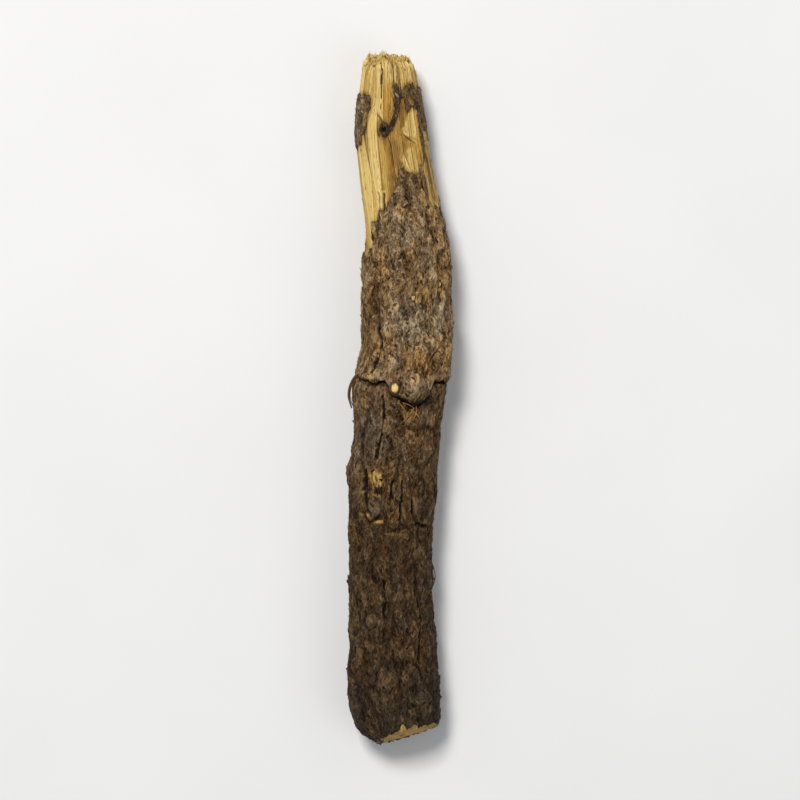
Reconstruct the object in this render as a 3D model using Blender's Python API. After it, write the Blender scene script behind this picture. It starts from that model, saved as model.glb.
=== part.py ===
"""A piece of licorice root, lying on a flat surface on three low points.

It grew as one piece, so it is one closed solid: a tapering, slightly bent root
with furrowed bark, a ring crack round its middle, the wood laid bare at its
broken upper end, and an oblique saw cut at its lower end. The stubs of side
roots, the curls of torn bark and the splinters of the broken end grow out of it.

Metres, +Z up. The root lies along Y with the broken end at +Y and its best
side up. A place on it is a distance from the saw cut and an angle round the
root, from 0 at the top and growing towards +X.
"""

import math

import bmesh
import bpy
import numpy as np
from mathutils import Matrix, Vector

MM = 0.001
NAME = "licorice_root"

# The overall shape
LENGTH = 180 * MM
MEAN_RADIUS = 11.5 * MM
BARK_THICKNESS = 1.2 * MM

# Each row: distance from the saw cut, sideways shift, width, depth, clearance below
SECTIONS = MM * np.array(
    [
        (0, 0.4, 15.0, 13.0, 3.2),
        (3, -0.5, 20.6, 18.0, 1.4),
        (8, -1.3, 23.4, 20.6, 0.6),
        (25, -2.1, 23.6, 21.0, 0.4),
        (50, -2.8, 22.4, 20.4, 1.2),
        (70, -2.0, 23.2, 21.2, 1.8),
        (85, -0.9, 23.2, 21.8, 1.8),
        (92, -0.6, 25.0, 23.2, 1.6),
        (99, 0.8, 24.8, 23.2, 1.6),
        (118, 1.5, 24.2, 22.4, 1.5),
        (133, 1.1, 22.8, 21.0, 1.1),
        (146, -0.8, 21.8, 19.6, 0.8),
        (160, -2.6, 20.4, 18.2, 1.2),
        (170, -3.0, 18.2, 16.4, 2.0),
        (180, -3.3, 15.2, 14.0, 3.2),
    ]
)

# The saw cut at the lower end rises to the right and to the top
CUT_MIDDLE = 2.2 * MM
CUT_SLOPE_SIDE = 0.28
CUT_SLOPE_UP = 0.2

# The broken upper end is domed and uneven, and lower at the top
BREAK_MIDDLE = 178.3 * MM
BREAK_SLOPE_UP = -0.12
BREAK_SLOPE_SIDE = -0.06
BREAK_DOME = 1.6 * MM
BREAK_DOME_RADIUS = 8.2 * MM
BREAK_RELIEF = 1.7 * MM
BREAK_GRAIN = 3.0 * MM
BREAK_SPAN = 24 * MM

# Mesh density
SEGMENTS = 48
RINGS = 106
CAP_RINGS = 6
STEPS_TO_RIM = 6
SHARP_ANGLE = 40

# Relief of the bark: cells round the root, cells along it, depth, seed
LONG_FURROWS = (9, 8, 0.55 * MM, 11)
SHORT_FURROWS = (13, 24, 0.3 * MM, 23)
SWELLING = (4, 9, 0.45 * MM, 31)
KNOBBLES = (17, 44, 0.2 * MM, 47)
FURROW_WIDTH = 0.4
NOISE_GAIN = 1.6

# Grooves in the bare wood: cells round the root, cells along it, depth, seed
WOOD_GRAIN = (24, 6, 0.5 * MM, 59)

# Outlines of bare wood, as (angle in degrees, distance in mm), and of the bark left on it
BARE_WOOD = (
    (-200, 190), (200, 190), (200, 175), (130, 173), (62, 171.5), (61, 165), (58, 160),
    (52, 154.5), (43, 149.5), (27, 149), (13, 150.3), (2, 149.4), (-3, 146), (-18, 142),
    (-29, 138.8), (-36, 139.6),
    (-46, 136.4), (-54, 136.3), (-52, 130), (-70, 127.4), (-92, 127), (-110, 133), (-120, 141),
    (-112, 150), (-128, 160), (-145, 168), (-200, 174),
)
BARE_STRIP = (
    (70, 163), (66, 158), (59, 156), (57, 151), (49, 146), (50, 142.5), (60, 139.5), (68, 141),
    (76, 137.5), (88, 141.5), (94, 139.8), (101, 146), (96, 150), (106, 154), (100, 158),
    (92, 157), (86, 163), (78, 160),
)
LEFT_ISLAND = (
    (-43, 169.8), (-39, 168), (-40, 164.5), (-50, 160.5), (-60, 156.5), (-95, 155.5),
    (-115, 160), (-105, 168), (-75, 170),
)
RIGHT_ISLAND = (
    (26, 170.5), (36, 172), (55, 173), (70, 167), (52, 165.6), (42, 166.4), (33, 164.2),
    (28, 167.5),
)

# Half the width of the step from the bark down to the bare wood
BARK_EDGE = 0.5 * MM

# Ridge of crusted bark on the bare wood, as high as the bark, ending in a hollow knot
CRUST_PATH = ((16, 171), (18, 168.6), (14, 165.5), (9, 163.3), (1, 161.5), (-9, 160.2))
CRUST_HALF_WIDTH = 2.2 * MM
CRUST_FLAT = 0.4
KNOT = (-12.5, 160.3)
KNOT_HOLE = (1.3, 1.4)
KNOT_COLLAR = (2.6, 1.0)

# Cracks: path as (angle, distance), half width and depth in mm
CRACKS = (
    (
        (
            (-180, 92), (-140, 94), (-90, 97), (-69, 96.5), (-40, 94.6), (-28, 95), (-19, 94.9),
            (-8, 92.1), (4, 90.4), (12, 89.5), (20, 88.4), (28, 88.8), (40, 90.6), (42, 93.5),
            (44, 95.1), (62, 95.1), (90, 95), (130, 93), (155, 91.2), (180, 92),
        ),
        1.3,
        1.3,
    ),
    (((-20, 91), (-17, 86), (-24, 80), (-27, 75)), 1.0, 0.9),
    (((-39, 108), (-35, 103), (-41, 99), (-40, 96.4)), 1.0, 0.8),
    (((-43, 72), (-43, 67)), 1.2, 1.4),
    (((-48, 63), (-39, 59.6), (-31, 58), (-18, 60)), 1.1, 1.0),
    (((14, 69), (13, 64), (13, 59.5)), 1.1, 1.0),
    (((0, 69), (-3, 63)), 1.0, 0.8),
    (((31, 64), (36, 60), (42, 57.6), (64, 57.2)), 1.1, 1.1),
    (((118, 84), (124, 70), (120, 58)), 1.2, 1.0),
    (((-128, 80), (-122, 66), (-130, 54), (-126, 46)), 1.2, 1.0),
    (((70, 128), (84, 120), (80, 108)), 1.1, 0.9),
    (((150, 140), (158, 126), (152, 112)), 1.1, 0.9),
    (((-150, 128), (-156, 118), (-146, 106)), 1.1, 0.9),
    (((-14, 46), (-8, 38), (-13, 28)), 1.1, 0.5),
    (((36, 42), (46, 34), (42, 22)), 1.1, 0.5),
    (((-70, 40), (-62, 28), (-68, 16)), 1.1, 0.9),
)

# The bark above the ring crack stands higher than the bark below it
RING_STEP = 0.55 * MM
RING_STEP_RISE = 1 * MM
RING_STEP_REACH = 9 * MM

# Splits in the bare wood, from the broken end down
SPLITS = (
    (((-19, 177), (-18, 171), (-19, 166)), 0.9, 1.2),
    (((12, 182), (12, 172)), 0.9, 1.3),
    (((-36, 144), (-37, 139)), 0.8, 1.0),
    (((-150, 184), (-148, 172)), 1.0, 1.4),
    (((95, 184), (98, 174)), 0.9, 1.2),
)

# Lumps: angle in degrees, distance, radius and height in mm
LUMPS = (
    (19, 93.2, 4.4, 1.4),
    (-23, 62.3, 3.8, 0.8),
    (-25, 69.4, 2.8, 0.5),
    (-86, 159.6, 2.2, 0.7),
    (-88, 129.6, 2.0, 0.6),
    (84, 111.5, 3.0, 0.6),
    (60, 76, 5.0, 0.7),
    (-100, 72, 5.0, 0.7),
    (140, 100, 5.5, 0.8),
    (-12, 18, 5.0, 0.7),
)

# Three low points that it rests on, like the lumps
FEET = (
    (151, 29, 8.0, 3.4),
    (-151, 23, 8.0, 3.4),
    (180, 142, 8.0, 3.0),
)

# Stubs of side roots: angle, distance, radius, height in mm
STUBS = (
    (-5, 93.2, 1.0, 1.5),
    (9, 116.4, 0.9, 0.8),
    (50, 120, 0.8, 0.9),
    (-128, 114, 1.3, 1.6),
    (140, 66, 1.7, 2.2),
    (-128, 98, 1.5, 1.8),
    (40, 50, 1.1, 1.1),
    (-30, 33, 1.2, 1.2),
    (150, 122, 1.6, 1.6),
    (122, 24, 1.3, 1.4),
)
STUB_SINK = 2.5 * MM
STUB_TAPER = 0.8
STUB_SIDES = 9

# Curls of torn bark, held at the first point: each point is an angle, a distance
# and a height above the surface in mm
CURLS = (
    ((-88, 98, -1.2), (-91, 95, 0.3), (-93, 91.5, 0.9), (-90, 88, 0.6)),
    ((44, 140, -1.2), (46, 143, 0.2), (45, 146, 0.8), (43, 148.5, 1.1)),
    ((128, 52, -1.2), (132, 56, 0.4), (134, 60, 1.2), (131, 63, 1.5)),
)
CURL_RADIUS = 0.75 * MM
CURL_TAPER = 0.55
CURL_WELD = 0.01 * MM

# Splinters of wood round the broken end
SPLINTERS = 18
SPLINTER_RADIUS = 1.2 * MM
SPLINTER_TIP_RADIUS = 0.36 * MM
SPLINTER_ROOT = 6.0 * MM
SPLINTER_DEPTHS = (2.6 * MM, 0.6 * MM)
SPLINTER_RISE = (-0.2 * MM, 0.9 * MM)
SPLINTER_SCATTER = 0.3
SPLINTER_SIDES = 5
SPLINTER_SEED = 71

BARK_COLOUR = (0.15, 0.095, 0.048, 1)
BARK_ROUGHNESS = 0.85


def clear_scene():
    for obj in list(bpy.data.objects):
        bpy.data.objects.remove(obj, do_unlink=True)


def curve_through(stations, values, at):
    """Smooth curve through the rows of a table, read at the distances in at."""
    slopes = np.gradient(values, stations)
    row = np.clip(np.searchsorted(stations, at) - 1, 0, len(stations) - 2)
    step = stations[row + 1] - stations[row]
    t = np.clip((at - stations[row]) / step, 0, 1)
    return (
        values[row] * (1 + 2 * t) * (1 - t) ** 2
        + values[row + 1] * t**2 * (3 - 2 * t)
        + slopes[row] * step * t * (1 - t) ** 2
        - slopes[row + 1] * step * t**2 * (1 - t)
    )


def smooth_step(low, high, x):
    t = np.clip((x - low) / (high - low), 0, 1)
    return t * t * (3 - 2 * t)


def noise(across, along, columns, rows, seed):
    """Smooth noise of about -1 to 1. It repeats when across grows by 1."""
    turn = np.random.default_rng(seed).uniform(0, 2 * math.pi, (rows + 3, columns))
    x = (across % 1.0) * columns
    y = np.clip(along, 0, 1) * rows
    column = np.floor(x).astype(int)
    row = np.floor(y).astype(int)
    dx, dy = x - column, y - row
    total = np.zeros_like(x)
    for right in (0, 1):
        for up in (0, 1):
            angle = turn[row + up, (column + right) % columns]
            reach = np.cos(angle) * (dx - right) + np.sin(angle) * (dy - up)
            weight_x = smooth_step(0, 1, dx if right else 1 - dx)
            weight_y = smooth_step(0, 1, dy if up else 1 - dy)
            total += reach * weight_x * weight_y
    return total * NOISE_GAIN


def surface_noise(angle, distance, columns, rows, seed):
    return noise(angle / (2 * math.pi), distance / LENGTH, columns, rows, seed)


def turn_between(angle, other):
    """Angle from other to angle, the short way round."""
    return (angle - other + math.pi) % (2 * math.pi) - math.pi


def unrolled(points):
    """Points given as (degrees, mm), laid flat in metres."""
    flat = np.array(points, float)
    return np.column_stack([np.radians(flat[:, 0]) * MEAN_RADIUS, flat[:, 1] * MM])


def distance_to_path(angle, distance, points, closed=False):
    """Distance over the unrolled surface from each place to a path of straight runs."""
    place = np.column_stack([angle.ravel() * MEAN_RADIUS, distance.ravel()])
    corners = unrolled(points)
    ends = np.roll(corners, -1, axis=0) if closed else corners[1:]
    nearest = np.full(len(place), np.inf)
    for a, b in zip(corners, ends):
        run = b - a
        t = np.clip((place - a) @ run / (run @ run), 0, 1)
        nearest = np.minimum(nearest, np.linalg.norm(place - a - t[:, None] * run, axis=1))
    return nearest.reshape(angle.shape)


def depth_inside(angle, distance, outline):
    """Distance to an outline, above zero inside it and below zero outside."""
    x, y = angle * MEAN_RADIUS, distance
    corners = unrolled(outline)
    inside = np.zeros(angle.shape, bool)
    for (ax, ay), (bx, by) in zip(corners, np.roll(corners, -1, axis=0)):
        crosses = (ay > y) != (by > y)
        reach = ax + (y - ay) * (bx - ax) / (by - ay if by != ay else 1)
        inside ^= crosses & (x < reach)
    away = distance_to_path(angle, distance, outline, closed=True)
    return np.where(inside, away, -away)


def bare_wood_depth(angle, distance):
    """How far inside the bare wood a place is, in metres; below zero on the bark."""
    window = depth_inside(angle, distance, BARE_WOOD)
    for island in (LEFT_ISLAND, RIGHT_ISLAND):
        window = np.minimum(window, -depth_inside(angle, distance, island))
    return np.maximum(window, depth_inside(angle, distance, BARE_STRIP))


def furrows(angle, distance, columns, rows, depth, seed):
    """A net of furrows along the zero lines of a noise, with flat ground between them."""
    field = surface_noise(angle, distance, columns, rows, seed)
    return depth * (smooth_step(0, FURROW_WIDTH, np.abs(field)) - 1)


def lump_heights(angle, distance, lumps):
    height = np.zeros_like(angle)
    for degrees, along, radius, rise in lumps:
        aside = turn_between(angle, math.radians(degrees)) * MEAN_RADIUS
        away = np.hypot(aside, distance - along * MM) / (radius * MM)
        height += rise * MM * (1 - smooth_step(0, 1, away))
    return height


def crack_depths(angle, distance, cracks):
    depth = np.zeros_like(angle)
    for path, half_width, deepest in cracks:
        away = distance_to_path(angle, distance, path)
        cut = deepest * MM * (1 - smooth_step(0, 1, away / (half_width * MM)))
        depth = np.maximum(depth, cut)
    return depth


def ring_step(angle, distance):
    """The bark just above the ring crack stands proud, and sinks back further up."""
    ring = unrolled(CRACKS[0][0])
    edge = np.interp(angle * MEAN_RADIUS, ring[:, 0], ring[:, 1])
    above = distance - edge
    proud = smooth_step(0, RING_STEP_RISE, above) * (1 - smooth_step(0, RING_STEP_REACH, above))
    return RING_STEP * proud


def outer_radius(angle, distance):
    """Radius of the root's plain section, with the bark on."""
    stations = SECTIONS[:, 0]
    half_width = curve_through(stations, SECTIONS[:, 2], distance) / 2
    half_depth = curve_through(stations, SECTIONS[:, 3], distance) / 2
    across, up = half_depth * np.sin(angle), half_width * np.cos(angle)
    return half_width * half_depth / np.hypot(across, up)


def root_radius(angle, distance):
    """Radius of the finished surface."""
    plain = outer_radius(angle, distance)
    bark = sum(furrows(angle, distance, *net) for net in (LONG_FURROWS, SHORT_FURROWS))
    for columns, rows, height, seed in (SWELLING, KNOBBLES):
        bark += height * surface_noise(angle, distance, columns, rows, seed)
    bark += lump_heights(angle, distance, LUMPS) + ring_step(angle, distance)
    bark -= crack_depths(angle, distance, CRACKS)

    columns, rows, height, seed = WOOD_GRAIN
    wood = height * surface_noise(angle, distance, columns, rows, seed) - BARK_THICKNESS
    wood -= crack_depths(angle, distance, SPLITS)
    crust = distance_to_path(angle, distance, CRUST_PATH) / CRUST_HALF_WIDTH
    wood += BARK_THICKNESS * (1 - smooth_step(CRUST_FLAT, 1, crust))

    bare = smooth_step(-BARK_EDGE, BARK_EDGE, bare_wood_depth(angle, distance))
    feet = lump_heights(angle, distance, FEET)
    knot = lump_heights(angle, distance, [KNOT + KNOT_COLLAR])
    knot -= lump_heights(angle, distance, [KNOT + KNOT_HOLE])
    return plain + bark * (1 - bare) + wood * bare + feet + knot


def axis_at(distance):
    """Middle of the section, as x and z."""
    stations = SECTIONS[:, 0]
    across = curve_through(stations, SECTIONS[:, 1], distance)
    depth = curve_through(stations, SECTIONS[:, 3], distance)
    clearance = curve_through(stations, SECTIONS[:, 4], distance)
    return across, clearance + depth / 2


def place_on_root(angle, distance, height=0.0):
    """Point at a height above the finished surface, in metres."""
    angle, distance = np.asarray(angle, float), np.asarray(distance, float)
    across, up = axis_at(distance)
    radius = root_radius(angle, distance) + height
    return np.stack(
        [
            across + radius * np.sin(angle),
            distance - LENGTH / 2,
            up + radius * np.cos(angle),
        ],
        axis=-1,
    )


def cut_height(x, z):
    """The saw cut's distance along the root, x and z from the section's middle."""
    return CUT_MIDDLE + CUT_SLOPE_SIDE * x + CUT_SLOPE_UP * z


def break_height(x, z):
    """The broken end's distance along the root, x and z from the section's middle."""
    cells = round(BREAK_SPAN / BREAK_GRAIN)
    across, up = x / BREAK_SPAN + 0.5, z / BREAK_SPAN + 0.5
    ragged = noise(across, up, cells, cells, SPLINTER_SEED)
    dome = BREAK_DOME * (1 - (x**2 + z**2) / BREAK_DOME_RADIUS**2)
    slope = BREAK_SLOPE_UP * z + BREAK_SLOPE_SIDE * x
    height = BREAK_MIDDLE + slope + dome + BREAK_RELIEF * ragged
    return np.minimum(height, LENGTH)


def end_cap(angle, share, height_of, guess):
    """Points of an end face: share is 0 in its middle and 1 on its rim."""
    rim = rim_distance(angle, height_of, guess)
    across, up = axis_at(rim)
    radius = root_radius(angle, rim) * share
    x, z = radius * np.sin(angle), radius * np.cos(angle)
    middle_across, middle_up = axis_at(np.full_like(angle, guess))
    across = middle_across + (across - middle_across) * share
    up = middle_up + (up - middle_up) * share
    return np.column_stack([across + x, height_of(x, z) - LENGTH / 2, up + z])


def rim_distance(angle, height_of, guess):
    """Where the side of the root meets an end face, found by stepping towards it."""
    distance = np.full_like(angle, guess)
    for _ in range(STEPS_TO_RIM):
        radius = root_radius(angle, distance)
        distance = height_of(radius * np.sin(angle), radius * np.cos(angle))
    return distance


def root_body():
    """A ball whose rings are spread along the root and over its two ends."""
    form = bmesh.new()
    bmesh.ops.create_uvsphere(form, u_segments=SEGMENTS, v_segments=RINGS, radius=1)
    ball = np.array([vertex.co for vertex in form.verts])
    angle = np.arctan2(ball[:, 0], -ball[:, 1])
    ring = np.rint(np.arccos(np.clip(-ball[:, 2], -1, 1)) / math.pi * RINGS)

    low = rim_distance(angle, cut_height, CUT_MIDDLE)
    high = rim_distance(angle, break_height, BREAK_MIDDLE)
    along = np.clip((ring - CAP_RINGS) / (RINGS - 2 * CAP_RINGS), 0, 1)
    points = place_on_root(angle, low + along * (high - low))

    below = end_cap(angle, np.minimum(ring / CAP_RINGS, 1), cut_height, CUT_MIDDLE)
    above = end_cap(angle, np.minimum((RINGS - ring) / CAP_RINGS, 1), break_height, BREAK_MIDDLE)
    points = np.where((ring < CAP_RINGS)[:, None], below, points)
    points = np.where((ring > RINGS - CAP_RINGS)[:, None], above, points)
    points[:, 2] = np.maximum(points[:, 2], 0)

    for vertex, point in zip(form.verts, points):
        vertex.co = point
    mesh = bpy.data.meshes.new(NAME)
    form.to_mesh(mesh)
    form.free()
    return bpy.data.objects.new(NAME, mesh)


def direction_out(degrees):
    return Vector((math.sin(math.radians(degrees)), 0, math.cos(math.radians(degrees))))


def tapered_peg(name, base, direction, low_radius, high_radius, length, sides):
    """A short cone that starts at base and points along direction."""
    form = bmesh.new()
    bmesh.ops.create_cone(
        form,
        cap_ends=True,
        segments=sides,
        radius1=low_radius,
        radius2=high_radius,
        depth=length,
    )
    turn = direction.to_track_quat("Z", "Y").to_matrix().to_4x4()
    middle = Vector(base) + direction.normalized() * length / 2
    bmesh.ops.transform(form, matrix=Matrix.Translation(middle) @ turn, verts=form.verts)
    mesh = bpy.data.meshes.new(name)
    form.to_mesh(mesh)
    form.free()
    return bpy.data.objects.new(name, mesh)


def side_root_stubs():
    for number, (degrees, along, radius, height) in enumerate(STUBS):
        out = direction_out(degrees)
        base = place_on_root(math.radians(degrees), along * MM, -STUB_SINK)
        length = STUB_SINK + height * MM
        radii = radius * MM, radius * MM * STUB_TAPER
        yield tapered_peg(f"stub_{number}", base, out, *radii, length, STUB_SIDES)


def splinters():
    draw = np.random.default_rng(SPLINTER_SEED)
    for number in range(SPLINTERS):
        shift = draw.uniform(-SPLINTER_SCATTER, SPLINTER_SCATTER)
        angle = np.array([2 * math.pi * (number + shift) / SPLINTERS])
        rim = rim_distance(angle, break_height, BREAK_MIDDLE)
        low_depth, high_depth = SPLINTER_DEPTHS
        foot = Vector(place_on_root(angle, rim - SPLINTER_ROOT, -low_depth)[0])
        tip = Vector(place_on_root(angle, rim, -high_depth)[0])
        tip.y += draw.uniform(*SPLINTER_RISE)
        run = tip - foot
        radii = SPLINTER_RADIUS, SPLINTER_TIP_RADIUS
        yield tapered_peg(f"splinter_{number}", foot, run, *radii, run.length, SPLINTER_SIDES)


def curl_of_bark(number, points):
    """A narrow tongue of bark that bends off the surface, as a tapering bevelled curve."""
    name = f"curl_{number}"
    curve = bpy.data.curves.new(name, "CURVE")
    curve.dimensions = "3D"
    curve.bevel_depth = CURL_RADIUS
    curve.bevel_resolution = 1
    curve.resolution_u = 2
    curve.use_fill_caps = True
    spline = curve.splines.new("NURBS")
    spline.points.add(len(points) - 1)
    spline.use_endpoint_u = True
    for place, (degrees, along, height) in zip(spline.points, points):
        spot = place_on_root(math.radians(degrees), along * MM, height * MM)
        place.co = (*spot, 1)
    for order, place in enumerate(spline.points):
        place.radius = 1 - CURL_TAPER * order / (len(points) - 1)
    guide = bpy.data.objects.new(name, curve)
    bpy.context.scene.collection.objects.link(guide)
    bpy.context.view_layer.update()
    graph = bpy.context.evaluated_depsgraph_get()
    mesh = bpy.data.meshes.new_from_object(guide.evaluated_get(graph))
    bpy.data.objects.remove(guide, do_unlink=True)
    form = bmesh.new()
    form.from_mesh(mesh)
    bmesh.ops.remove_doubles(form, verts=form.verts, dist=CURL_WELD)
    form.to_mesh(mesh)
    form.free()
    return bpy.data.objects.new(name, mesh)


def fuse(body, pieces):
    """Joins the small pieces to the root and removes their objects."""
    extras = bpy.data.collections.new("grown_on")
    bpy.context.scene.collection.children.link(extras)
    for piece in pieces:
        extras.objects.link(piece)
    union = body.modifiers.new("grown_on", "BOOLEAN")
    union.operation = "UNION"
    union.operand_type = "COLLECTION"
    union.collection = extras
    union.solver = "MANIFOLD"
    bpy.context.view_layer.update()
    graph = bpy.context.evaluated_depsgraph_get()
    fused = bpy.data.meshes.new_from_object(body.evaluated_get(graph))
    body.modifiers.clear()
    body.data = fused
    for piece in list(extras.objects):
        bpy.data.objects.remove(piece, do_unlink=True)
    bpy.data.collections.remove(extras)


def bark_material():
    material = bpy.data.materials.new("bark")
    material.use_nodes = True
    shader = material.node_tree.nodes["Principled BSDF"]
    shader.inputs["Base Color"].default_value = BARK_COLOUR
    shader.inputs["Roughness"].default_value = BARK_ROUGHNESS
    shader.inputs["Metallic"].default_value = 0.0
    return material


def main():
    clear_scene()
    root_parts = bpy.data.collections.new(NAME)
    bpy.context.scene.collection.children.link(root_parts)
    root = root_body()
    root_parts.objects.link(root)
    curls = [curl_of_bark(number, points) for number, points in enumerate(CURLS)]
    fuse(root, [*side_root_stubs(), *splinters(), *curls])
    root.data.name = NAME
    root.data.materials.clear()
    root.data.materials.append(bark_material())
    root.data.shade_smooth()
    root.data.set_sharp_from_angle(angle=math.radians(SHARP_ANGLE))


main()
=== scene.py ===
"""The looks of a piece of licorice root that lies on a pale surface.

The skin is made again here from the solid's own measures, but finer: the bark
below and above the ring crack, the bare wood with the broken end, the sawn end,
the stubs of side roots, curls and flakes of bark, and loose fibres.

Metres, +Z up. The root lies along Y with the broken end at +Y and its best
side up. A place on it is a distance from the saw cut and an angle round the
root, from 0 at the top and growing towards +X.
"""

import math

import bmesh
import bpy
import numpy as np
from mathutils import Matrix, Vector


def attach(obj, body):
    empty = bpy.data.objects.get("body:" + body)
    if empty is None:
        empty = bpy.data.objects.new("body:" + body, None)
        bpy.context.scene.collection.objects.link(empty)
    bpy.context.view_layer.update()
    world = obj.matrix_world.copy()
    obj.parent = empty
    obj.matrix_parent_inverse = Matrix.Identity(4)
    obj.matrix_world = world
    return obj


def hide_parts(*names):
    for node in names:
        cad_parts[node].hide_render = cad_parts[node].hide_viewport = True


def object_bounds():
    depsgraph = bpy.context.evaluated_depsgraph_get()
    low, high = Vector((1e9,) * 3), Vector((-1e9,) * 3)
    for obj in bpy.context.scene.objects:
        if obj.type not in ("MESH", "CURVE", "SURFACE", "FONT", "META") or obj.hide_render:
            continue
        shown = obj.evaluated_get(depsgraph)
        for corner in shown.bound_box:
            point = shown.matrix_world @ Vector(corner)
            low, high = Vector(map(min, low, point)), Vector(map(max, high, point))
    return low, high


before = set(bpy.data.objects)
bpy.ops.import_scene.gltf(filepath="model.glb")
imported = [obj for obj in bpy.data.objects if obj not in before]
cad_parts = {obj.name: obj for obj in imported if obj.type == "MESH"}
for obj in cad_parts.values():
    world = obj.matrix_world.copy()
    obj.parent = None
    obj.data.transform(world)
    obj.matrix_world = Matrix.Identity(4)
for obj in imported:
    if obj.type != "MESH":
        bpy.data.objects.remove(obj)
cad_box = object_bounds()

MM = 0.001
NODE = "licorice_root"

# The overall shape, as in the solid
LENGTH = 180 * MM
MEAN_RADIUS = 11.5 * MM
BARK_THICKNESS = 1.2 * MM

# Each row: distance from the saw cut, sideways shift, width, depth, clearance below
SECTIONS = MM * np.array(
    [
        (0, 0.4, 15.0, 13.0, 3.2),
        (3, -0.5, 20.6, 18.0, 1.4),
        (8, -1.3, 23.4, 20.6, 0.6),
        (25, -2.1, 23.6, 21.0, 0.4),
        (50, -2.8, 22.4, 20.4, 1.2),
        (70, -2.0, 23.2, 21.2, 1.8),
        (85, -0.9, 23.2, 21.8, 1.8),
        (92, -0.6, 25.0, 23.2, 1.6),
        (99, 0.8, 24.8, 23.2, 1.6),
        (118, 1.5, 24.2, 22.4, 1.5),
        (133, 1.1, 22.8, 21.0, 1.1),
        (146, -0.8, 21.8, 19.6, 0.8),
        (160, -2.6, 20.4, 18.2, 1.2),
        (170, -3.0, 18.2, 16.4, 2.0),
        (180, -3.3, 15.2, 14.0, 3.2),
    ]
)

# The saw cut at the lower end rises to the right and to the top
CUT_MIDDLE = 2.2 * MM
CUT_SLOPE_SIDE = 0.28
CUT_SLOPE_UP = 0.2

# The broken upper end is domed and uneven, with bundles of fibres broken at different heights
BREAK_MIDDLE = 178.3 * MM
BREAK_SLOPE_UP = -0.12
BREAK_SLOPE_SIDE = -0.06
BREAK_DOME = 1.6 * MM
BREAK_DOME_RADIUS = 8.2 * MM
BREAK_RELIEF = 1.7 * MM
BREAK_GRAIN = 3.0 * MM
BREAK_SPAN = 24 * MM
BREAK_SEED = 71
BUNDLES = ((1.5 * MM, 1.5 * MM, 401), (0.6 * MM, 0.6 * MM, 402))
BREAK_MOST = 180.9 * MM

# Where the wood starts under the bark, and where the thin bark on it ends
WOOD_START = 121 * MM
BARK_TOP = 175.5 * MM

# Large relief of the bark: cells round the root, cells along it, depth, seed
LONG_FURROWS = (9, 8, 0.55 * MM, 11)
SHORT_FURROWS = (13, 24, 0.3 * MM, 23)
SWELLING = (4, 9, 0.45 * MM, 31)
KNOBBLES = (17, 44, 0.2 * MM, 47)
FURROW_WIDTH = 0.4
NOISE_GAIN = 1.6
WOOD_GRAIN = (24, 6, 0.5 * MM, 59)

# Fine relief of the bark, in mm: width, length, slant, depth or height, seed
CREASES = (
    (3.4, 8.0, 0.28, 0.13, 101),
    (2.0, 5.0, -0.40, 0.08, 102),
)
CREASE_WIDTH = 0.35
RIDGES = (
    (1.5, 4.0, 0.60, 0.16, 103),
    (1.4, 3.8, -0.66, 0.16, 104),
    (1.0, 2.8, 0.30, 0.10, 105),
    (0.9, 2.6, -0.35, 0.10, 106),
)
RIDGE_WIDTH = 0.2

# Patches where the ridges lean one way or the other: width, length, seed
LEANING = (4.5, 7.0, 131)

# Scales of the bark: width, length, height, seed, then how they slant and their gaps' width
SCALES = (2.3, 3.4, 0.12, 121)
SCALE_SLANT = 0.12
SCALE_GAP = 0.10

# Rougher and smoother patches: width, length, change, seed
ROUGH_PATCHES = (9.0, 15.0, 0.3, 132)

# Above here only thin, smoother bark is left
THIN_BARK = (147 * MM, 153 * MM)
THIN_BARK_LEVEL = -0.62 * MM
THIN_BARK_RISE = 0.3 * MM
CRUST_LEVEL = -0.95 * MM

# Layers of noise: strength, width and length of a cell in mm, seed
GRIT = ((0.07, 1.1, 1.5, 111), (0.07, 0.6, 0.8, 112), (0.05, 0.4, 0.45, 113))
FIBRES = (
    (0.12, 2.4, 40.0, 201), (0.09, 1.0, 24.0, 202), (0.06, 0.5, 14.0, 203), (0.03, 0.3, 9.0, 204),
)
FRAYING = ((0.5, 1.8, 3.0, 251), (0.35, 0.8, 1.6, 252), (0.2, 0.5, 0.7, 253))
TORN_EDGE_JAGS = ((0.45, 1.6, 3.0, 340), (0.30, 0.6, 1.4, 341))
CRUST_EDGE_JAGS = ((0.4, 0.9, 1.3, 344), (0.35, 2.2, 2.6, 345))
SPOT_EDGES = ((0.35, 1.1, 1.7, 501), (0.25, 0.5, 0.8, 502))
RUST_PATCHES = ((1.0, 7, 11, 511), (0.7, 1.9, 3.4, 512))
GREY_PATCHES = ((1.0, 5, 9, 521), (0.7, 1.7, 2.6, 522))
WOOD_STREAKS = ((1.0, 1.1, 16.0, 233), (0.6, 3.0, 9.0, 234))
SAWN_FLANK = ((0.2, 0.9, 3, 241), (0.14, 0.5, 0.7, 242))

# Single noises: width and length of a cell in mm, seed, and slant where there is one
CRACKS_FADE = (3.0, 3.0, 361)
CRACKS_WANDER = (0.9, 1.3, 362)
CHECKS_FADE = (5.0, 12.0, 222)
TORN_PATCHES = (3.0, 5.0, 503)
FLECKS = (0.7, 1.4, 531, 0.3)
CHALK_PATCHES = (3.4, 6.0, 541)
EDGES_LIFT = (2.5, 3.5, 342)
CRUST_LUMPS = (1.0, 1.2, 343)
SAW_CHIPS = (3.2, 3.2, 351)
RING_SHADE_EDGE = (1.5, 1.5, 353)
GRAIN_WOBBLE = (9, 9, 231)
FRAYED_PITS = (1.0, 1.3, 254)
PALE_EDGES = (1.2, 4.0, 232)
SAWN_RIM = (1.2, 1.2, 612)

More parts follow.
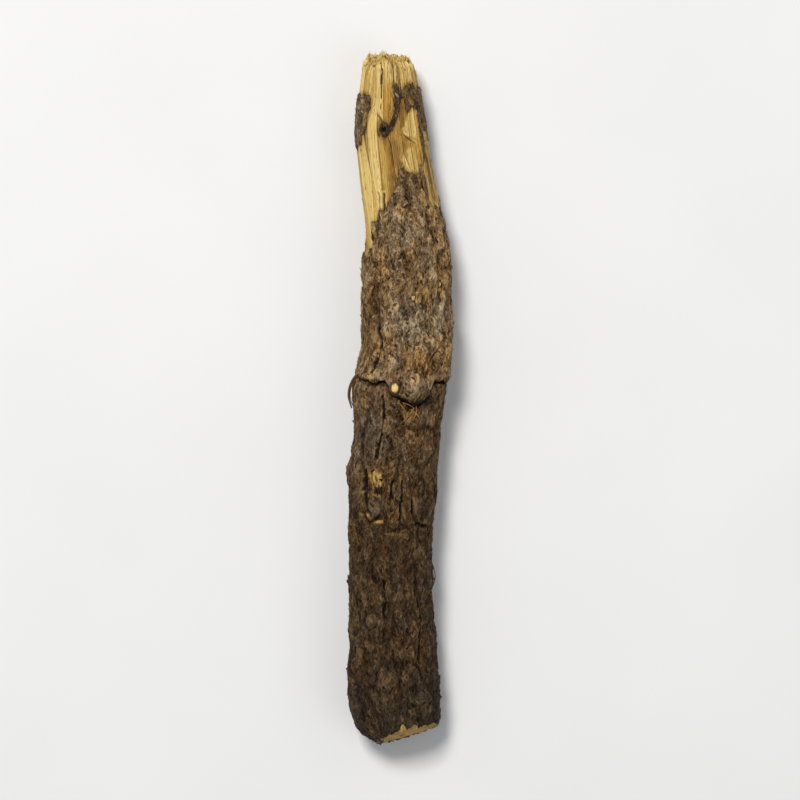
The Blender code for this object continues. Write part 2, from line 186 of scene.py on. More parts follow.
# At a torn edge the bark dips steeply under the bare wood
TORN_EDGE = (-0.18 * MM, 0.26 * MM)
UNDER_WOOD = 1.0 * MM
BARK_RECEDES = 0.2 * MM

# How far furrows and torn edges wander, in mm: reach, cell, seed
WANDERING = ((0.55, 5.0, 301), (0.30, 2.0, 311), (0.14, 0.9, 321))

# Strips and small cracks of the bare wood, in mm: width, length, height or depth, seed
STRIPS = (3.0, 34.0, 0.34, 211)
CHECKS = (1.5, 17.0, 0.30, 221)

# Outlines of bare wood, as (angle in degrees, distance in mm), and of the bark left on it
BARE_WOOD = (
    (-200, 190), (200, 190), (200, 175), (130, 173), (62, 171.5), (61, 165), (58, 160),
    (52, 154.5), (43, 149.5), (27, 149), (13, 150.3), (2, 149.4), (-3, 146), (-18, 142),
    (-29, 138.8), (-36, 139.6),
    (-46, 136.4), (-54, 136.3), (-52, 130), (-70, 127.4), (-92, 127), (-110, 133), (-120, 141),
    (-112, 150), (-128, 160), (-145, 168), (-200, 174),
)
BARE_STRIP = (
    (70, 163), (66, 158), (59, 156), (57, 151), (49, 146), (50, 142.5), (60, 139.5), (68, 141),
    (76, 137.5), (88, 141.5), (94, 139.8), (101, 146), (96, 150), (106, 154), (100, 158),
    (92, 157), (86, 163), (78, 160),
)
LEFT_ISLAND = (
    (-43, 169.8), (-39, 168), (-40, 164.5), (-50, 160.5), (-60, 156.5), (-95, 155.5),
    (-115, 160), (-105, 168), (-75, 170),
)
RIGHT_ISLAND = (
    (26, 170.5), (36, 172), (55, 173), (70, 167), (52, 165.6), (42, 166.4), (33, 164.2),
    (28, 167.5),
)

# Patches where a layer of the wood stands up, paler than the rest
PALE_PATCHES = (
    ((46, 166), (21, 160), (26, 158.4), (46, 157.4), (53, 160), (50, 164)),
    ((13, 153.2), (28, 155.5), (41, 156), (47, 149), (25, 149), (15, 149), (12, 152)),
)
PALE_RISE = 0.12 * MM

# The wood is darker and golden between two soft edges, given as angles, and up to a soft end: partly
# its own colour, partly painted shade on the side away from the light
GOLD_LEFT_EDGE = (math.radians(-23), math.radians(-9))
GOLD_OUTER_EDGE = (1.2, 0.9)
GOLD_TOP = (170 * MM, 175 * MM)

# Ridge of crusted bark on the bare wood, ending in a hollow knot
CRUST_PATH = ((16, 171), (18, 168.6), (14, 165.5), (9, 163), (1, 160.8), (-9, 160))
CRUST_HALF_WIDTH = 1.0 * MM
CRUST_WIDENING = 0.5 * MM
KNOT = (-12.5, 160.3)
KNOT_RADIUS = 2.2 * MM
KNOT_HOLE = (1.1, 2.0)
KNOT_COLLAR = (2.6, 1.0)

# Cracks: path as (angle, distance), half width and depth in mm; the first goes all the way round
CRACKS = (
    (
        (
            (-180, 92), (-140, 94), (-90, 97), (-69, 96.5), (-40, 94.6), (-28, 95), (-19, 94.9),
            (-8, 92.1), (4, 90.4), (12, 89.5), (20, 88.4), (28, 88.8), (40, 90.6), (42, 93.5),
            (44, 95.1), (62, 95.1), (90, 95), (130, 93), (155, 91.2), (180, 92),
        ),
        1.3,
        1.3,
    ),
    (((-20, 91), (-17, 86), (-24, 80), (-27, 75)), 1.0, 0.9),
    (((-39, 108), (-35, 103), (-41, 99), (-40, 96.4)), 1.0, 0.8),
    (((-43, 72), (-43, 67)), 1.2, 1.4),
    (((-48, 63), (-39, 59.6), (-31, 58), (-18, 60)), 1.1, 1.0),
    (((14, 69), (13, 64), (13, 59.5)), 1.1, 1.0),
    (((0, 69), (-3, 63)), 1.0, 0.8),
    (((31, 64), (36, 60), (42, 57.6), (64, 57.2)), 1.1, 1.1),
    (((118, 84), (124, 70), (120, 58)), 1.2, 1.0),
    (((-128, 80), (-122, 66), (-130, 54), (-126, 46)), 1.2, 1.0),
    (((70, 128), (84, 120), (80, 108)), 1.1, 0.9),
    (((150, 140), (158, 126), (152, 112)), 1.1, 0.9),
    (((-150, 128), (-156, 118), (-146, 106)), 1.1, 0.9),
    (((-14, 46), (-8, 38), (-13, 28)), 1.1, 0.5),
    (((36, 42), (46, 34), (42, 22)), 1.1, 0.5),
    (((-70, 40), (-62, 28), (-68, 16)), 1.1, 0.9),
)

# The steep part and the bottom of a crack, painted dark as shade, as shares of its width in the solid
CRACK_SHARE = 0.65
FISSURE_SHARE = 0.36
CRACK_JAG = 0.5 * MM

# The bark above the ring crack stands higher than the bark below it, and hangs over its edge
RING_STEP = 0.55 * MM
RING_STEP_RISE = 1 * MM
RING_STEP_REACH = 9 * MM

# How ragged the bark's edge is there and round the saw cut: reach, width and length in mm, seed
RING_JAGS = ((0.55, 2.6, 5.2, 331), (0.28, 1.0, 2.0, 332))
SAWN_JAGS = ((0.5, 2.1, 2.1, 352), (0.25, 0.8, 0.8, 354))

# The rolled lip of bark over the ring crack: distance above its edge, height over the bark, in mm
LIP = ((1.6, -2.4), (0.7, -1.5), (0.15, -0.85), (-0.15, -0.4), (-0.1, -0.08))

# The bark below runs on under that edge, sinks there, and is shaded
UNDER_RING = 2.2 * MM
UNDER_RING_DROP = 1.5 * MM
RING_SHADE = 0.8
LIP_SHADE = 0.3

# Splits in the bare wood, from the broken end down
SPLITS = (
    (((-19, 176), (-18, 171), (-19, 168.5)), 0.9, 1.0),
    (((12, 182), (12, 172)), 0.9, 1.3),
    (((-36, 144), (-37, 139)), 0.8, 1.0),
    (((-150, 184), (-148, 172)), 1.0, 1.4),
    (((95, 184), (98, 174)), 0.9, 1.2),
)
SPLIT_SHARE = 0.5
SLOTS = (
    (((-18, 175.2), (-18.5, 172.2)), 0.7, 2.0),
    (((-20, 167), (-19.5, 165.8)), 0.35, 0.8),
    (((-22, 177.4), (-20, 175.8)), 0.5, 1.4),
    (((11.5, 179), (12, 173)), 0.45, 1.2),
    (((26, 173), (27, 169.6)), 0.4, 0.9),
    (((-29, 143.5), (-31, 138.8)), 0.6, 1.5),
    (((24, 158.8), (36, 157.9), (46, 157.3)), 0.3, 0.6),
)

# The sawn wood lies this far below the bark's surface, and reaches this far up under the bark
SAWN_INSET = 0.75 * MM
SAWN_REACH = 5 * MM

# Most bark is chipped off the saw cut's edge here
CHIPPED_SIDE = math.radians(65)
CHIPPED_SPREAD = 0.8
CHIP_LENGTH = 1.9 * MM

# Rays of the saw cut: how many go round, cells from the pith out over a span, seed
RAYS = (110, 3, 611)
FINE_RAYS = (230, 5, 613)
RAY_SPAN = 40 * MM
SAW_MARKS = 0.9 * MM

# Cracks of the saw cut: angle, reach and width at the pith in mm
SAWN_CRACKS = (
    (20, 6.5, 0.28),
    (95, 4.0, 0.20),
    (170, 8.0, 0.34),
    (248, 5.0, 0.24),
    (310, 7.0, 0.30),
)

# Lumps: angle in degrees, distance, radius and height in mm
LUMPS = (
    (19, 93.2, 4.4, 1.4),
    (-23, 62.3, 3.8, 0.8),
    (-25, 69.4, 2.8, 0.5),
    (-86, 159.6, 2.2, 0.7),
    (-88, 129.6, 2.0, 0.6),
    (84, 111.5, 3.0, 0.6),
    (60, 76, 5.0, 0.7),
    (-100, 72, 5.0, 0.7),
    (140, 100, 5.5, 0.8),
    (-12, 18, 5.0, 0.7),
)

# Three low points that it rests on, like the lumps
FEET = (
    (151, 29, 8.0, 3.4),
    (-151, 23, 8.0, 3.4),
    (180, 142, 8.0, 3.0),
)

# Stubs of side roots: angle, distance, radius, height in mm, how pale the cut face is
STUBS = (
    (-5, 93.2, 1.1, 1.5, 1.0),
    (9, 116.4, 0.55, 0.4, 0.8),
    (50, 120, 0.5, 0.5, 0.75),
    (-128, 114, 1.3, 1.6, 0.5),
    (140, 66, 1.7, 2.2, 0.6),
    (-128, 98, 1.5, 1.8, 0.4),
    (40, 50, 0.8, 0.8, 0.25),
    (-30, 33, 0.9, 0.9, 0.3),
    (150, 122, 1.6, 1.6, 0.5),
    (122, 24, 1.3, 1.4, 0.4),
)
STUB_SINK = 2.0
STUB_SIDES = 22
STUB_SEED = 81

# How much of its paleness each ring of a stub's cut face has, from its foot up
STUB_SHADES = np.array([0.6, 0.6, 0.75, 1.0, 1.0])

# Seed of the flakes' ragged outline
CHIP_SEED = 91

# Curls of torn bark: each point is an angle, a distance and a height above the surface in mm
CURLS = (
    ((-88, 98, -1.2), (-91, 95, 0.3), (-93, 91.5, 0.9), (-90, 88, 0.6)),
    ((44, 140, -1.2), (46, 143, 0.2), (45, 146, 0.8), (43, 148.5, 1.1)),
    ((128, 52, -1.2), (132, 56, 0.4), (134, 60, 1.2), (131, 63, 1.5)),
)
CURL_RADIUS = 0.72 * MM
CURL_FLATNESS = 0.6

# Thinner strips of bark beside the curls, in the same way
STRIPS_OF_BARK = (
    ((-80, 97, -0.6), (-84, 94.6, 0.3), (-87, 92, 0.7), (-86, 89.4, 0.5), (-83, 87.6, 0.1)),
    ((-96, 97.5, -0.6), (-99, 94.5, 0.4), (-98, 91.5, 0.8), (-94, 89.5, 0.3)),
    ((-60, 95.2, -0.2), (-63, 93.4, 0.5), (-60, 91.4, 0.5), (-54, 89.6, 0.0)),
    ((-52, 95.0, -0.2), (-55, 92.8, 0.4), (-50, 90.6, 0.1)),
    ((-72, 88.0, -0.2), (-76, 85.4, 0.4), (-75, 82.6, 0.0)),
    ((40, 96.5, -0.3), (44, 98.6, 0.5), (42, 101.4, 0.0)),
    ((30, 132, -0.3), (33, 135, 0.4), (31, 138.4, 0.0)),
    ((-34, 122, -0.3), (-37, 119.5, 0.4), (-35, 116.6, 0.0)),
    ((66, 104, -0.3), (69, 107, 0.5), (67, 110.5, 0.0)),
    ((100, 118, -0.3), (104, 122, 0.6), (101, 126, 0.1)),
    ((-110, 70, -0.3), (-114, 66, 0.5), (-111, 61.5, 0.0)),
    ((88, 40, -0.3), (92, 44, 0.5), (89, 48.5, 0.0)),
)
STRIP_RADIUS = 0.3 * MM

# Orange fibres that fan out below the ring crack, like the curls
FIBRE_FAN = (
    ((2, 89.2, 0.3), (7, 88.0, 0.6), (13, 86.4, 0.15)),
    ((23, 88.0, 0.2), (14, 86.0, 0.7), (5, 83.9, 0.1)),
    ((18, 87.6, 0.2), (26, 86.0, 0.6), (34, 83.9, 0.1)),
    ((14, 87.0, 0.3), (12, 85.5, 0.5), (11, 83.3, 0.1)),
    ((7, 89.3, 0.3), (15, 88.9, 0.5), (23, 88.0, 0.1)),
    ((27, 88.6, 0.1), (24, 86.8, 0.4), (21, 84.6, 0.0)),
)
FIBRE_RADIUS = 0.18 * MM

# Spots where the bark is smoother, and spots of colour on the bark and, last, on the wood.
# Each row: angle, distance, half width, half length in mm, strength
SPOTS = {
    "smooth": (
        (-43, 82, 5.4, 9.5, 0.85), (-23, 62.3, 3.6, 3.4, 0.7), (10, 55, 9, 5, 0.4),
        (-5, 6, 12, 6, 0.5), (-72, 163, 6, 8, 0.7), (45, 168, 5, 4, 0.6), (110, 30, 9, 14, 0.5),
        (-120, 60, 8, 12, 0.5),
    ),
    "rust": (
        (-52, 112, 4.5, 15, 0.75), (-38, 122, 3.0, 9, 0.5), (30, 98, 4.5, 3.5, 0.6),
        (60, 128, 4.0, 10, 0.5), (-25, 69.6, 3.4, 3.8, 1.0), (-18, 58.4, 2.4, 1.8, 0.9),
        (-72, 62, 3.0, 12, 0.7), (-68, 88, 2.0, 5, 0.7), (14, 86.5, 4.0, 3.0, 0.6),
        (6, 60, 2.5, 4.0, 0.6), (-35, 6, 5.0, 4.0, 0.5), (-25, 8.6, 3.5, 1.1, 0.9),
        (-4, 67, 1.6, 5.0, 0.9), (32, 81.5, 1.6, 4.0, 0.8), (20, 58.5, 2.2, 3.5, 0.8),
        (-2, 127, 3.4, 2.6, 0.8), (14, 130.5, 1.6, 2.4, 0.8), (38, 143.5, 3.0, 4.0, 0.9),
        (16, 137, 2.0, 5.0, 0.7),
    ),
    "grey": (
        (2, 110, 6.0, 8, 0.85), (3, 133, 5.5, 4.5, 0.85), (31, 126, 3.2, 6.0, 0.8),
        (46, 112, 2.2, 6, 1.0), (19, 93.2, 4.0, 3.6, 0.5), (-23, 62.3, 3.6, 3.6, 0.9),
        (-45, 82, 5.4, 9.5, 1.0), (-70, 164, 5.0, 8.0, 0.9), (30, 140, 5.0, 6.0, 0.4),
    ),
    "chalk": (
        (46, 112, 1.9, 7.0, 0.9), (30, 104, 2.0, 3.0, 0.25), (21, 93.6, 2.6, 2.4, 0.15),
        (9, 116.6, 1.2, 1.0, 0.9), (-30, 76, 1.0, 1.2, 0.6), (-64, 8, 3.0, 3.4, 0.35),
        (-20, 4.6, 1.6, 1.0, 0.3),
    ),
    # Some dark spots are painted shade: under the ring crack's overhang at -32 and 24 degrees, in the
    # slot at -43 degrees, in the knot's hollow and along the left flank at -56 degrees; others are
    # darker bark
    "dark": (
        (14, 167, 1.4, 2.6, 0.6), (-12.5, 160.3, 1.2, 1.2, 0.95), (-56, 110, 5.0, 17, 0.42),
        (-44, 82, 5.2, 9.0, 0.15), (-43, 69.5, 0.9, 2.4, 1.0), (-32, 94.2, 3.4, 1.0, 0.85),
        (24, 89.5, 3.0, 0.9, 0.8), (22, 146, 4.5, 3.5, 0.4), (-22, 140, 3.0, 2.0, 0.35),
    ),
    "yellow": (
        (-25, 69.8, 2.3, 2.6, 0.8), (46, 120, 5.0, 17, 0.15), (-27, 65.4, 2.6, 0.6, 0.75),
        (2, 55.4, 2.2, 0.5, 0.5), (-38, 60.2, 1.4, 0.7, 0.6), (40, 141.5, 1.2, 1.6, 0.5),
        (34, 137.8, 0.7, 1.2, 0.6), (-17, 58.6, 1.5, 0.5, 0.9), (38.5, 145.5, 0.4, 3.2, 1.0),
        (51, 118.8, 0.6, 2.2, 1.0), (9, 116.4, 0.55, 0.5, 0.8), (-4, 91.2, 0.9, 0.8, 0.6),
        (33, 132.5, 0.18, 1.6, 0.8),
    ),
    # Stains on the wood; the long one at 76 degrees is painted shade on the strip of bare wood on the
    # shaded side
    "stain_and_shade": (
        (3, 154, 2.6, 5.5, 0.9), (22, 163, 1.4, 4.0, 0.7), (20, 155, 1.2, 3.0, 0.6),
        (-2, 164.5, 1.5, 2.5, 0.5), (-13, 157.5, 1.6, 2.0, 0.5), (9, 155.2, 1.7, 1.4, 1.0),
        (7, 151.0, 1.7, 1.9, 1.0), (22, 174.5, 1.8, 3.6, 0.6), (6, 176.5, 0.9, 2.6, 0.7),
        (-30, 172, 1.0, 5.0, 0.35), (-52, 160, 1.4, 9.0, 0.35), (20, 168, 1.8, 7.0, 0.75),
        (12, 160, 2.5, 4.0, 0.5), (-8, 146, 2.2, 4.5, 0.6), (76, 150, 4.5, 10, 0.8),
        (32, 157.9, 3.2, 0.7, 0.8), (-84, 129.5, 3.0, 2.5, 0.5),
    ),
    "pale": (
        (-45, 146, 4.5, 14, 0.8), (-24, 156, 2.4, 14, 0.5), (0, 178, 9.0, 2.6, 0.9),
        (32, 174, 3.0, 2.5, 0.6),
    ),
}

# Fine light lines on the bark: size of the noise, how far it is drawn out, turn in radians
BARK_STRANDS = (
    (1.5 * MM, 2.6, 0.75),
    (1.4 * MM, 2.6, -0.80),
    (0.9 * MM, 2.2, 0.15),
)
STRAND_WIDTH = 0.05

# Nothing is scattered lower than this over the surface that the root lies on
FLAKES_CLEAR = 0.9 * MM

# Mesh density: places round the root and rings along it
BARK_COLUMNS = 284
BARK_RINGS = 330
WOOD_COLUMNS = 400
WOOD_RINGS = 170
CAP_RINGS = 46
CAP_CELLS = 18
SAWN_COLUMNS = 320
SAWN_SIDE_RINGS = 16
SAWN_RINGS = 60
THREAD_RINGS = 6
THREAD_SIDES = 5
STEPS_IN_SWEEP = 6

# Rounds of the search for an end's rim, and how much closer places stand on the side that shows
STEPS_TO_RIM = 8
CROWDING = 0.35

# Lamps, in metres and watts: name, place, size, power, colour
LAMPS = (
    ("key", (-0.3, 0.55, 1.22), 0.35, 13.5, (1.0, 0.98, 0.95)),
    ("fill", (0.8, -0.4, 1.1), 0.9, 2.0, (1.0, 0.99, 0.97)),
)
ROOM_COLOUR = (0.92, 0.95, 1.0, 1)
ROOM_LIGHT = 0.32

# The camera's height over the root's middle, and how much of the picture's height the root fills
CAMERA_ABOVE = 0.9
SHARE_OF_PICTURE = 0.865

# The grid that fine noise is laid on runs past both ends
FIELD = 210 * MM
FIELD_LEAD = 14 * MM


def curve_through(stations, values, at):
    """Smooth curve through the rows of a table, read at the distances in at."""
    slopes = np.gradient(values, stations)
    row = np.clip(np.searchsorted(stations, at) - 1, 0, len(stations) - 2)
    step = stations[row + 1] - stations[row]
    t = np.clip((at - stations[row]) / step, 0, 1)
    return (
        values[row] * (1 + 2 * t) * (1 - t) ** 2
        + values[row + 1] * t**2 * (3 - 2 * t)
        + slopes[row] * step * t * (1 - t) ** 2
        - slopes[row + 1] * step * t**2 * (1 - t)
    )


def smooth_step(low, high, x):
    t = np.clip((x - low) / (high - low), 0, 1)
    return t * t * (3 - 2 * t)


def noise(across, along, columns, rows, seed):
    """Smooth noise of about -1 to 1. It repeats when across grows by 1."""
    turn = np.random.default_rng(seed).uniform(0, 2 * math.pi, (rows + 3, columns))
    x = (across % 1.0) * columns
    y = np.clip(along, 0, 1) * rows
    column = np.floor(x).astype(int)
    row = np.floor(y).astype(int)
    dx, dy = x - column, y - row
    total = np.zeros_like(x)
    for right in (0, 1):
        for up in (0, 1):
            angle = turn[row + up, (column + right) % columns]
            reach = np.cos(angle) * (dx - right) + np.sin(angle) * (dy - up)
            weight_x = smooth_step(0, 1, dx if right else 1 - dx)
            weight_y = smooth_step(0, 1, dy if up else 1 - dy)
            total += reach * weight_x * weight_y
    return total * NOISE_GAIN


def cells(across, along, columns, rows, seed):
    """Random cells: how far a place is from its cell's border, and its cell's own value."""
    shift_x, shift_y, own = np.random.default_rng(seed).uniform(0, 1, (3, rows + 3, columns))
    x = (across % 1.0) * columns
    y = np.clip(along, 0, 1) * rows
    column = np.floor(x).astype(int)
    row = np.floor(y).astype(int)
    nearest = np.full(x.shape, np.inf)
    second = np.full(x.shape, np.inf)
    value = np.zeros(x.shape)
    for right in (-1, 0, 1):
        for up in (-1, 0, 1):
            at = row + up + 1, (column + right) % columns
            away = np.hypot(column + right + shift_x[at] - x, row + up + shift_y[at] - y)
            closer = away < nearest
            second = np.where(closer, nearest, np.minimum(second, away))
            value = np.where(closer, own[at], value)
            nearest = np.where(closer, away, nearest)
    return second - nearest, value


def surface_noise(angle, distance, columns, rows, seed):
    return noise(angle / (2 * math.pi), distance / LENGTH, columns, rows, seed)


def fine_grid(angle, distance, width, length, slant=0.0):
    """Where a place lies on a grid of cells of a width and a length in mm."""
    across = (angle + slant * distance / MEAN_RADIUS) / (2 * math.pi)
    along = (distance + FIELD_LEAD) / FIELD
    columns = round(2 * math.pi * MEAN_RADIUS / (width * MM))
    rows = round(FIELD / (length * MM))
    return across, along, columns, rows


def fine_noise(angle, distance, width, length, seed, slant=0.0):
    return noise(*fine_grid(angle, distance, width, length, slant), seed)


def noises(angle, distance, layers):
    """Sum of fine noises, each row a strength, a cell's width and length in mm, and a seed."""
    return sum(strength * fine_noise(angle, distance, *cell) for strength, *cell in layers)


def fine_cells(angle, distance, width, length, seed, slant=0.0):
    return cells(*fine_grid(angle, distance, width, length, slant), seed)


def turn_between(angle, other):
    """Angle from other to angle, the short way round."""
    return (angle - other + math.pi) % (2 * math.pi) - math.pi


def unrolled(points):
    """Points given as (degrees, mm), laid flat in metres."""
    flat = np.array(points, float)
    return np.column_stack([np.radians(flat[:, 0]) * MEAN_RADIUS, flat[:, 1] * MM])


def distance_to_path(angle, distance, points, closed=False):
    """Distance over the unrolled surface from each place to a path of straight runs."""
    place = np.column_stack([angle.ravel() * MEAN_RADIUS, distance.ravel()])
    corners = unrolled(points)
    ends = np.roll(corners, -1, axis=0) if closed else corners[1:]
    nearest = np.full(len(place), np.inf)
    for a, b in zip(corners, ends):
        run = b - a
        t = np.clip((place - a) @ run / (run @ run), 0, 1)
        nearest = np.minimum(nearest, np.linalg.norm(place - a - t[:, None] * run, axis=1))
    return nearest.reshape(angle.shape)


def depth_inside(angle, distance, outline):
    """Distance to an outline, above zero inside it and below zero outside."""
    x, y = angle * MEAN_RADIUS, distance
    corners = unrolled(outline)
    inside = np.zeros(angle.shape, bool)
    for (ax, ay), (bx, by) in zip(corners, np.roll(corners, -1, axis=0)):
        crosses = (ay > y) != (by > y)
        reach = ax + (y - ay) * (bx - ax) / (by - ay if by != ay else 1)
        inside ^= crosses & (x < reach)
    away = distance_to_path(angle, distance, outline, closed=True)
    return np.where(inside, away, -away)


def bare_wood_depth(angle, distance):
    """How far inside the bare wood a place is, in metres; below zero on the bark."""
    window = depth_inside(angle, distance, BARE_WOOD)
    for island in (LEFT_ISLAND, RIGHT_ISLAND):
        window = np.minimum(window, -depth_inside(angle, distance, island))
    return np.maximum(window, depth_inside(angle, distance, BARE_STRIP))


def crust_gap(angle, distance):
    """Distance to the crust and its knot, below zero on them."""
    widening = CRUST_WIDENING * smooth_step(161 * MM, 171 * MM, distance)
    ridge = distance_to_path(angle, distance, CRUST_PATH) - CRUST_HALF_WIDTH - widening
    degrees, along = KNOT
    aside = turn_between(angle, math.radians(degrees)) * MEAN_RADIUS
    knot = np.hypot(aside, distance - along * MM) - KNOT_RADIUS
    return np.minimum(ridge, knot) + MM * noises(angle, distance, CRUST_EDGE_JAGS)


def furrows(angle, distance, columns, rows, depth, seed):
    """A net of furrows along the zero lines of a noise, with flat ground between them."""
    field = surface_noise(angle, distance, columns, rows, seed)
    return depth * (smooth_step(0, FURROW_WIDTH, np.abs(field)) - 1)


def lump_heights(angle, distance, lumps):
    height = np.zeros_like(angle)
    for degrees, along, radius, rise in lumps:
        aside = turn_between(angle, math.radians(degrees)) * MEAN_RADIUS
        away = np.hypot(aside, distance - along * MM) / (radius * MM)
        height += rise * MM * (1 - smooth_step(0, 1, away))
    return height


def crack_depths(angle, distance, cracks):
    depth = np.zeros_like(angle)
    for path, half_width, deepest in cracks:
        away = distance_to_path(angle, distance, path)
        cut = deepest * MM * (1 - smooth_step(0, 1, away / (half_width * MM)))
        depth = np.maximum(depth, cut)
    return depth


def narrowed(cracks, share):
    return [(path, half_width * share, deepest) for path, half_width, deepest in cracks]


def fissure_depths(angle, distance, cracks):
    """The bottoms of the cracks, sharp and thin, which come and go along them, where the bark is
    painted dark as shade.
    """
    thin = narrowed(cracks, FISSURE_SHARE)
    there = 0.15 + 0.85 * smooth_step(-0.3, 0.3, fine_noise(angle, distance, *CRACKS_FADE))
    return there * crack_depths(angle, distance, thin)


def jagged_cracks(angle, distance):
    """The cracks but the first, steeper than in the solid, which come and go along them."""
    aside = CRACK_JAG * fine_noise(angle, distance, *CRACKS_WANDER) / MEAN_RADIUS
    there = 0.3 + 0.7 * smooth_step(-0.4, 0.2, fine_noise(angle, distance, *CRACKS_FADE))
    return there * crack_depths(angle + aside, distance, narrowed(CRACKS[1:], CRACK_SHARE))


def ring_edge(angle):
    ring = unrolled(CRACKS[0][0])
    return np.interp(angle * MEAN_RADIUS, ring[:, 0], ring[:, 1])


def ring_step(angle, distance):
    """The bark just above the ring crack stands proud, and sinks back further up."""
    above = distance - ring_edge(angle)
    proud = smooth_step(0, RING_STEP_RISE, above) * (1 - smooth_step(0, RING_STEP_REACH, above))
    return RING_STEP * proud


def wandering(angle, distance):
    """Places shifted a little, so that furrows and torn edges wander."""
    aside = np.zeros_like(angle)
    along = np.zeros_like(angle)
    for reach, cell, seed in WANDERING:
        aside += reach * MM * fine_noise(angle, distance, cell, 1.5 * cell, seed)
        along += reach * MM * fine_noise(angle, distance, cell, 1.5 * cell, seed + 1)
    return angle + aside / MEAN_RADIUS, distance + along


def outer_radius(angle, distance):
    """Radius of the root's plain section, with the bark on."""
    stations = SECTIONS[:, 0]
    half_width = curve_through(stations, SECTIONS[:, 2], distance) / 2
    half_depth = curve_through(stations, SECTIONS[:, 3], distance) / 2
    across, up = half_depth * np.sin(angle), half_width * np.cos(angle)
    return half_width * half_depth / np.hypot(across, up)


def plain_radius(angle, distance):
    """Radius of the plain section, with the three low points that it rests on."""
    return outer_radius(angle, distance) + lump_heights(angle, distance, FEET)


def bark_forms(angle, distance):
    """The bark's large relief over the plain section, much as in the solid."""
    height = sum(furrows(angle, distance, *net) for net in (LONG_FURROWS, SHORT_FURROWS))
    for columns, rows, rise, seed in (SWELLING, KNOBBLES):
        height += rise * surface_noise(angle, distance, columns, rows, seed)
    height += lump_heights(angle, distance, LUMPS) + ring_step(angle, distance)
    return height - jagged_cracks(angle, distance)


def bark_grain(angle, distance):
    """The bark's fine relief, and its scales' own values."""
    height = np.zeros_like(angle)
    lean = smooth_step(-0.4, 0.4, fine_noise(angle, distance, *LEANING))
    for width, length, slant, rise, seed in RIDGES:
        field = np.abs(fine_noise(angle, distance, width, length, seed, slant))
        share = lean if slant > 0 else 1 - lean
        line = (0.25 + 0.75 * share) * (1 - smooth_step(0, RIDGE_WIDTH, field))
        height = np.maximum(height, rise * MM * line)
    for width, length, slant, depth, seed in CREASES:
        field = np.abs(fine_noise(angle, distance, width, length, seed, slant))
        height -= depth * MM * (1 - smooth_step(0, CREASE_WIDTH, field))
    height += MM * noises(angle, distance, GRIT)
    width, length, rise, seed = SCALES
    border, tone = fine_cells(angle, distance, width, length, seed, SCALE_SLANT)
    rounded = smooth_step(0, SCALE_GAP, border)
    height += rise * MM * ((tone - 0.4) * rounded - 0.5 * (1 - rounded))
    width, length, change, seed = ROUGH_PATCHES
    rough = 1 + change * fine_noise(angle, distance, width, length, seed)
    rough *= 1 - spots("smooth", angle, distance)
    return height * rough, tone


def wood_forms(angle, distance):
    """Relief of the bare wood over the plain section, its strips' own values, and painted shade in its
    cracks, splits, slots and the knot's hole.
    """
    columns, rows, rise, seed = WOOD_GRAIN
    height = rise * surface_noise(angle, distance, columns, rows, seed) - BARK_THICKNESS
    height += MM * noises(angle, distance, FIBRES)
    width, length, rise, seed = STRIPS
    border, own = fine_cells(angle, distance, width, length, seed)
    height += rise * MM * (own - 0.5)
    width, length, depth, seed = CHECKS
    checks = 1 - smooth_step(0, 0.06, np.abs(fine_noise(angle, distance, width, length, seed)))
    checks *= smooth_step(0.05, 0.45, fine_noise(angle, distance, *CHECKS_FADE))
    checks = np.maximum(checks, 0.45 * (1 - smooth_step(0, 0.05, border)))
    height -= depth * MM * checks
    moved = wandering(angle, distance)
    for patch in PALE_PATCHES:
        height += PALE_RISE * smooth_step(0, 0.4 * MM, depth_inside(*moved, patch))
    slots = crack_depths(*moved, SLOTS)
    splits = crack_depths(*moved, narrowed(SPLITS, SPLIT_SHARE))
    # Painted shade in the checks, the gaps between strips and the splits, then in the slots and the
    # knot's hole
    dark = np.maximum(0.45 * checks, 0.4 * smooth_step(0.5 * MM, 1.3 * MM, splits))
    knot = lump_heights(angle, distance, [KNOT + KNOT_HOLE])
    for depth in (slots, knot):
        dark = np.maximum(dark, smooth_step(0.5 * MM, 1.1 * MM, depth))
    return height - np.maximum(splits, slots) - knot, own, dark


def axis_at(distance):
    """Middle of the section, as x and z."""
    stations = SECTIONS[:, 0]
    across = curve_through(stations, SECTIONS[:, 1], distance)
    depth = curve_through(stations, SECTIONS[:, 3], distance)
    clearance = curve_through(stations, SECTIONS[:, 4], distance)
    return across, clearance + depth / 2


def place_at(angle, distance, radius):
    """Points at a radius round the root's axis, never below what it lies on."""
    across, up = axis_at(distance)
    z = np.maximum(up + radius * np.cos(angle), 0)
    return np.stack([across + radius * np.sin(angle), distance - LENGTH / 2, z], axis=-1)


def surface_radius(angle, distance):
    """Radius of the surface of the solid, on the bark and on the bare wood."""
    bare = smooth_step(-0.5 * MM, 0.5 * MM, bare_wood_depth(angle, distance))
    bark = bark_forms(angle, distance) - crack_depths(angle, distance, CRACKS[:1])
    return plain_radius(angle, distance) + bark * (1 - bare) - BARK_THICKNESS * bare


def over_surface(points):
    """Points of a path given as (degrees, mm, height in mm)."""
    degrees, along, height = np.array(points, float).T
    angle, distance = np.radians(degrees), along * MM
    return place_at(angle, distance, surface_radius(angle, distance) + height * MM)


def cut_height(x, z):
    """The saw cut's distance along the root, x and z from the section's middle."""
    return CUT_MIDDLE + CUT_SLOPE_SIDE * x + CUT_SLOPE_UP * z


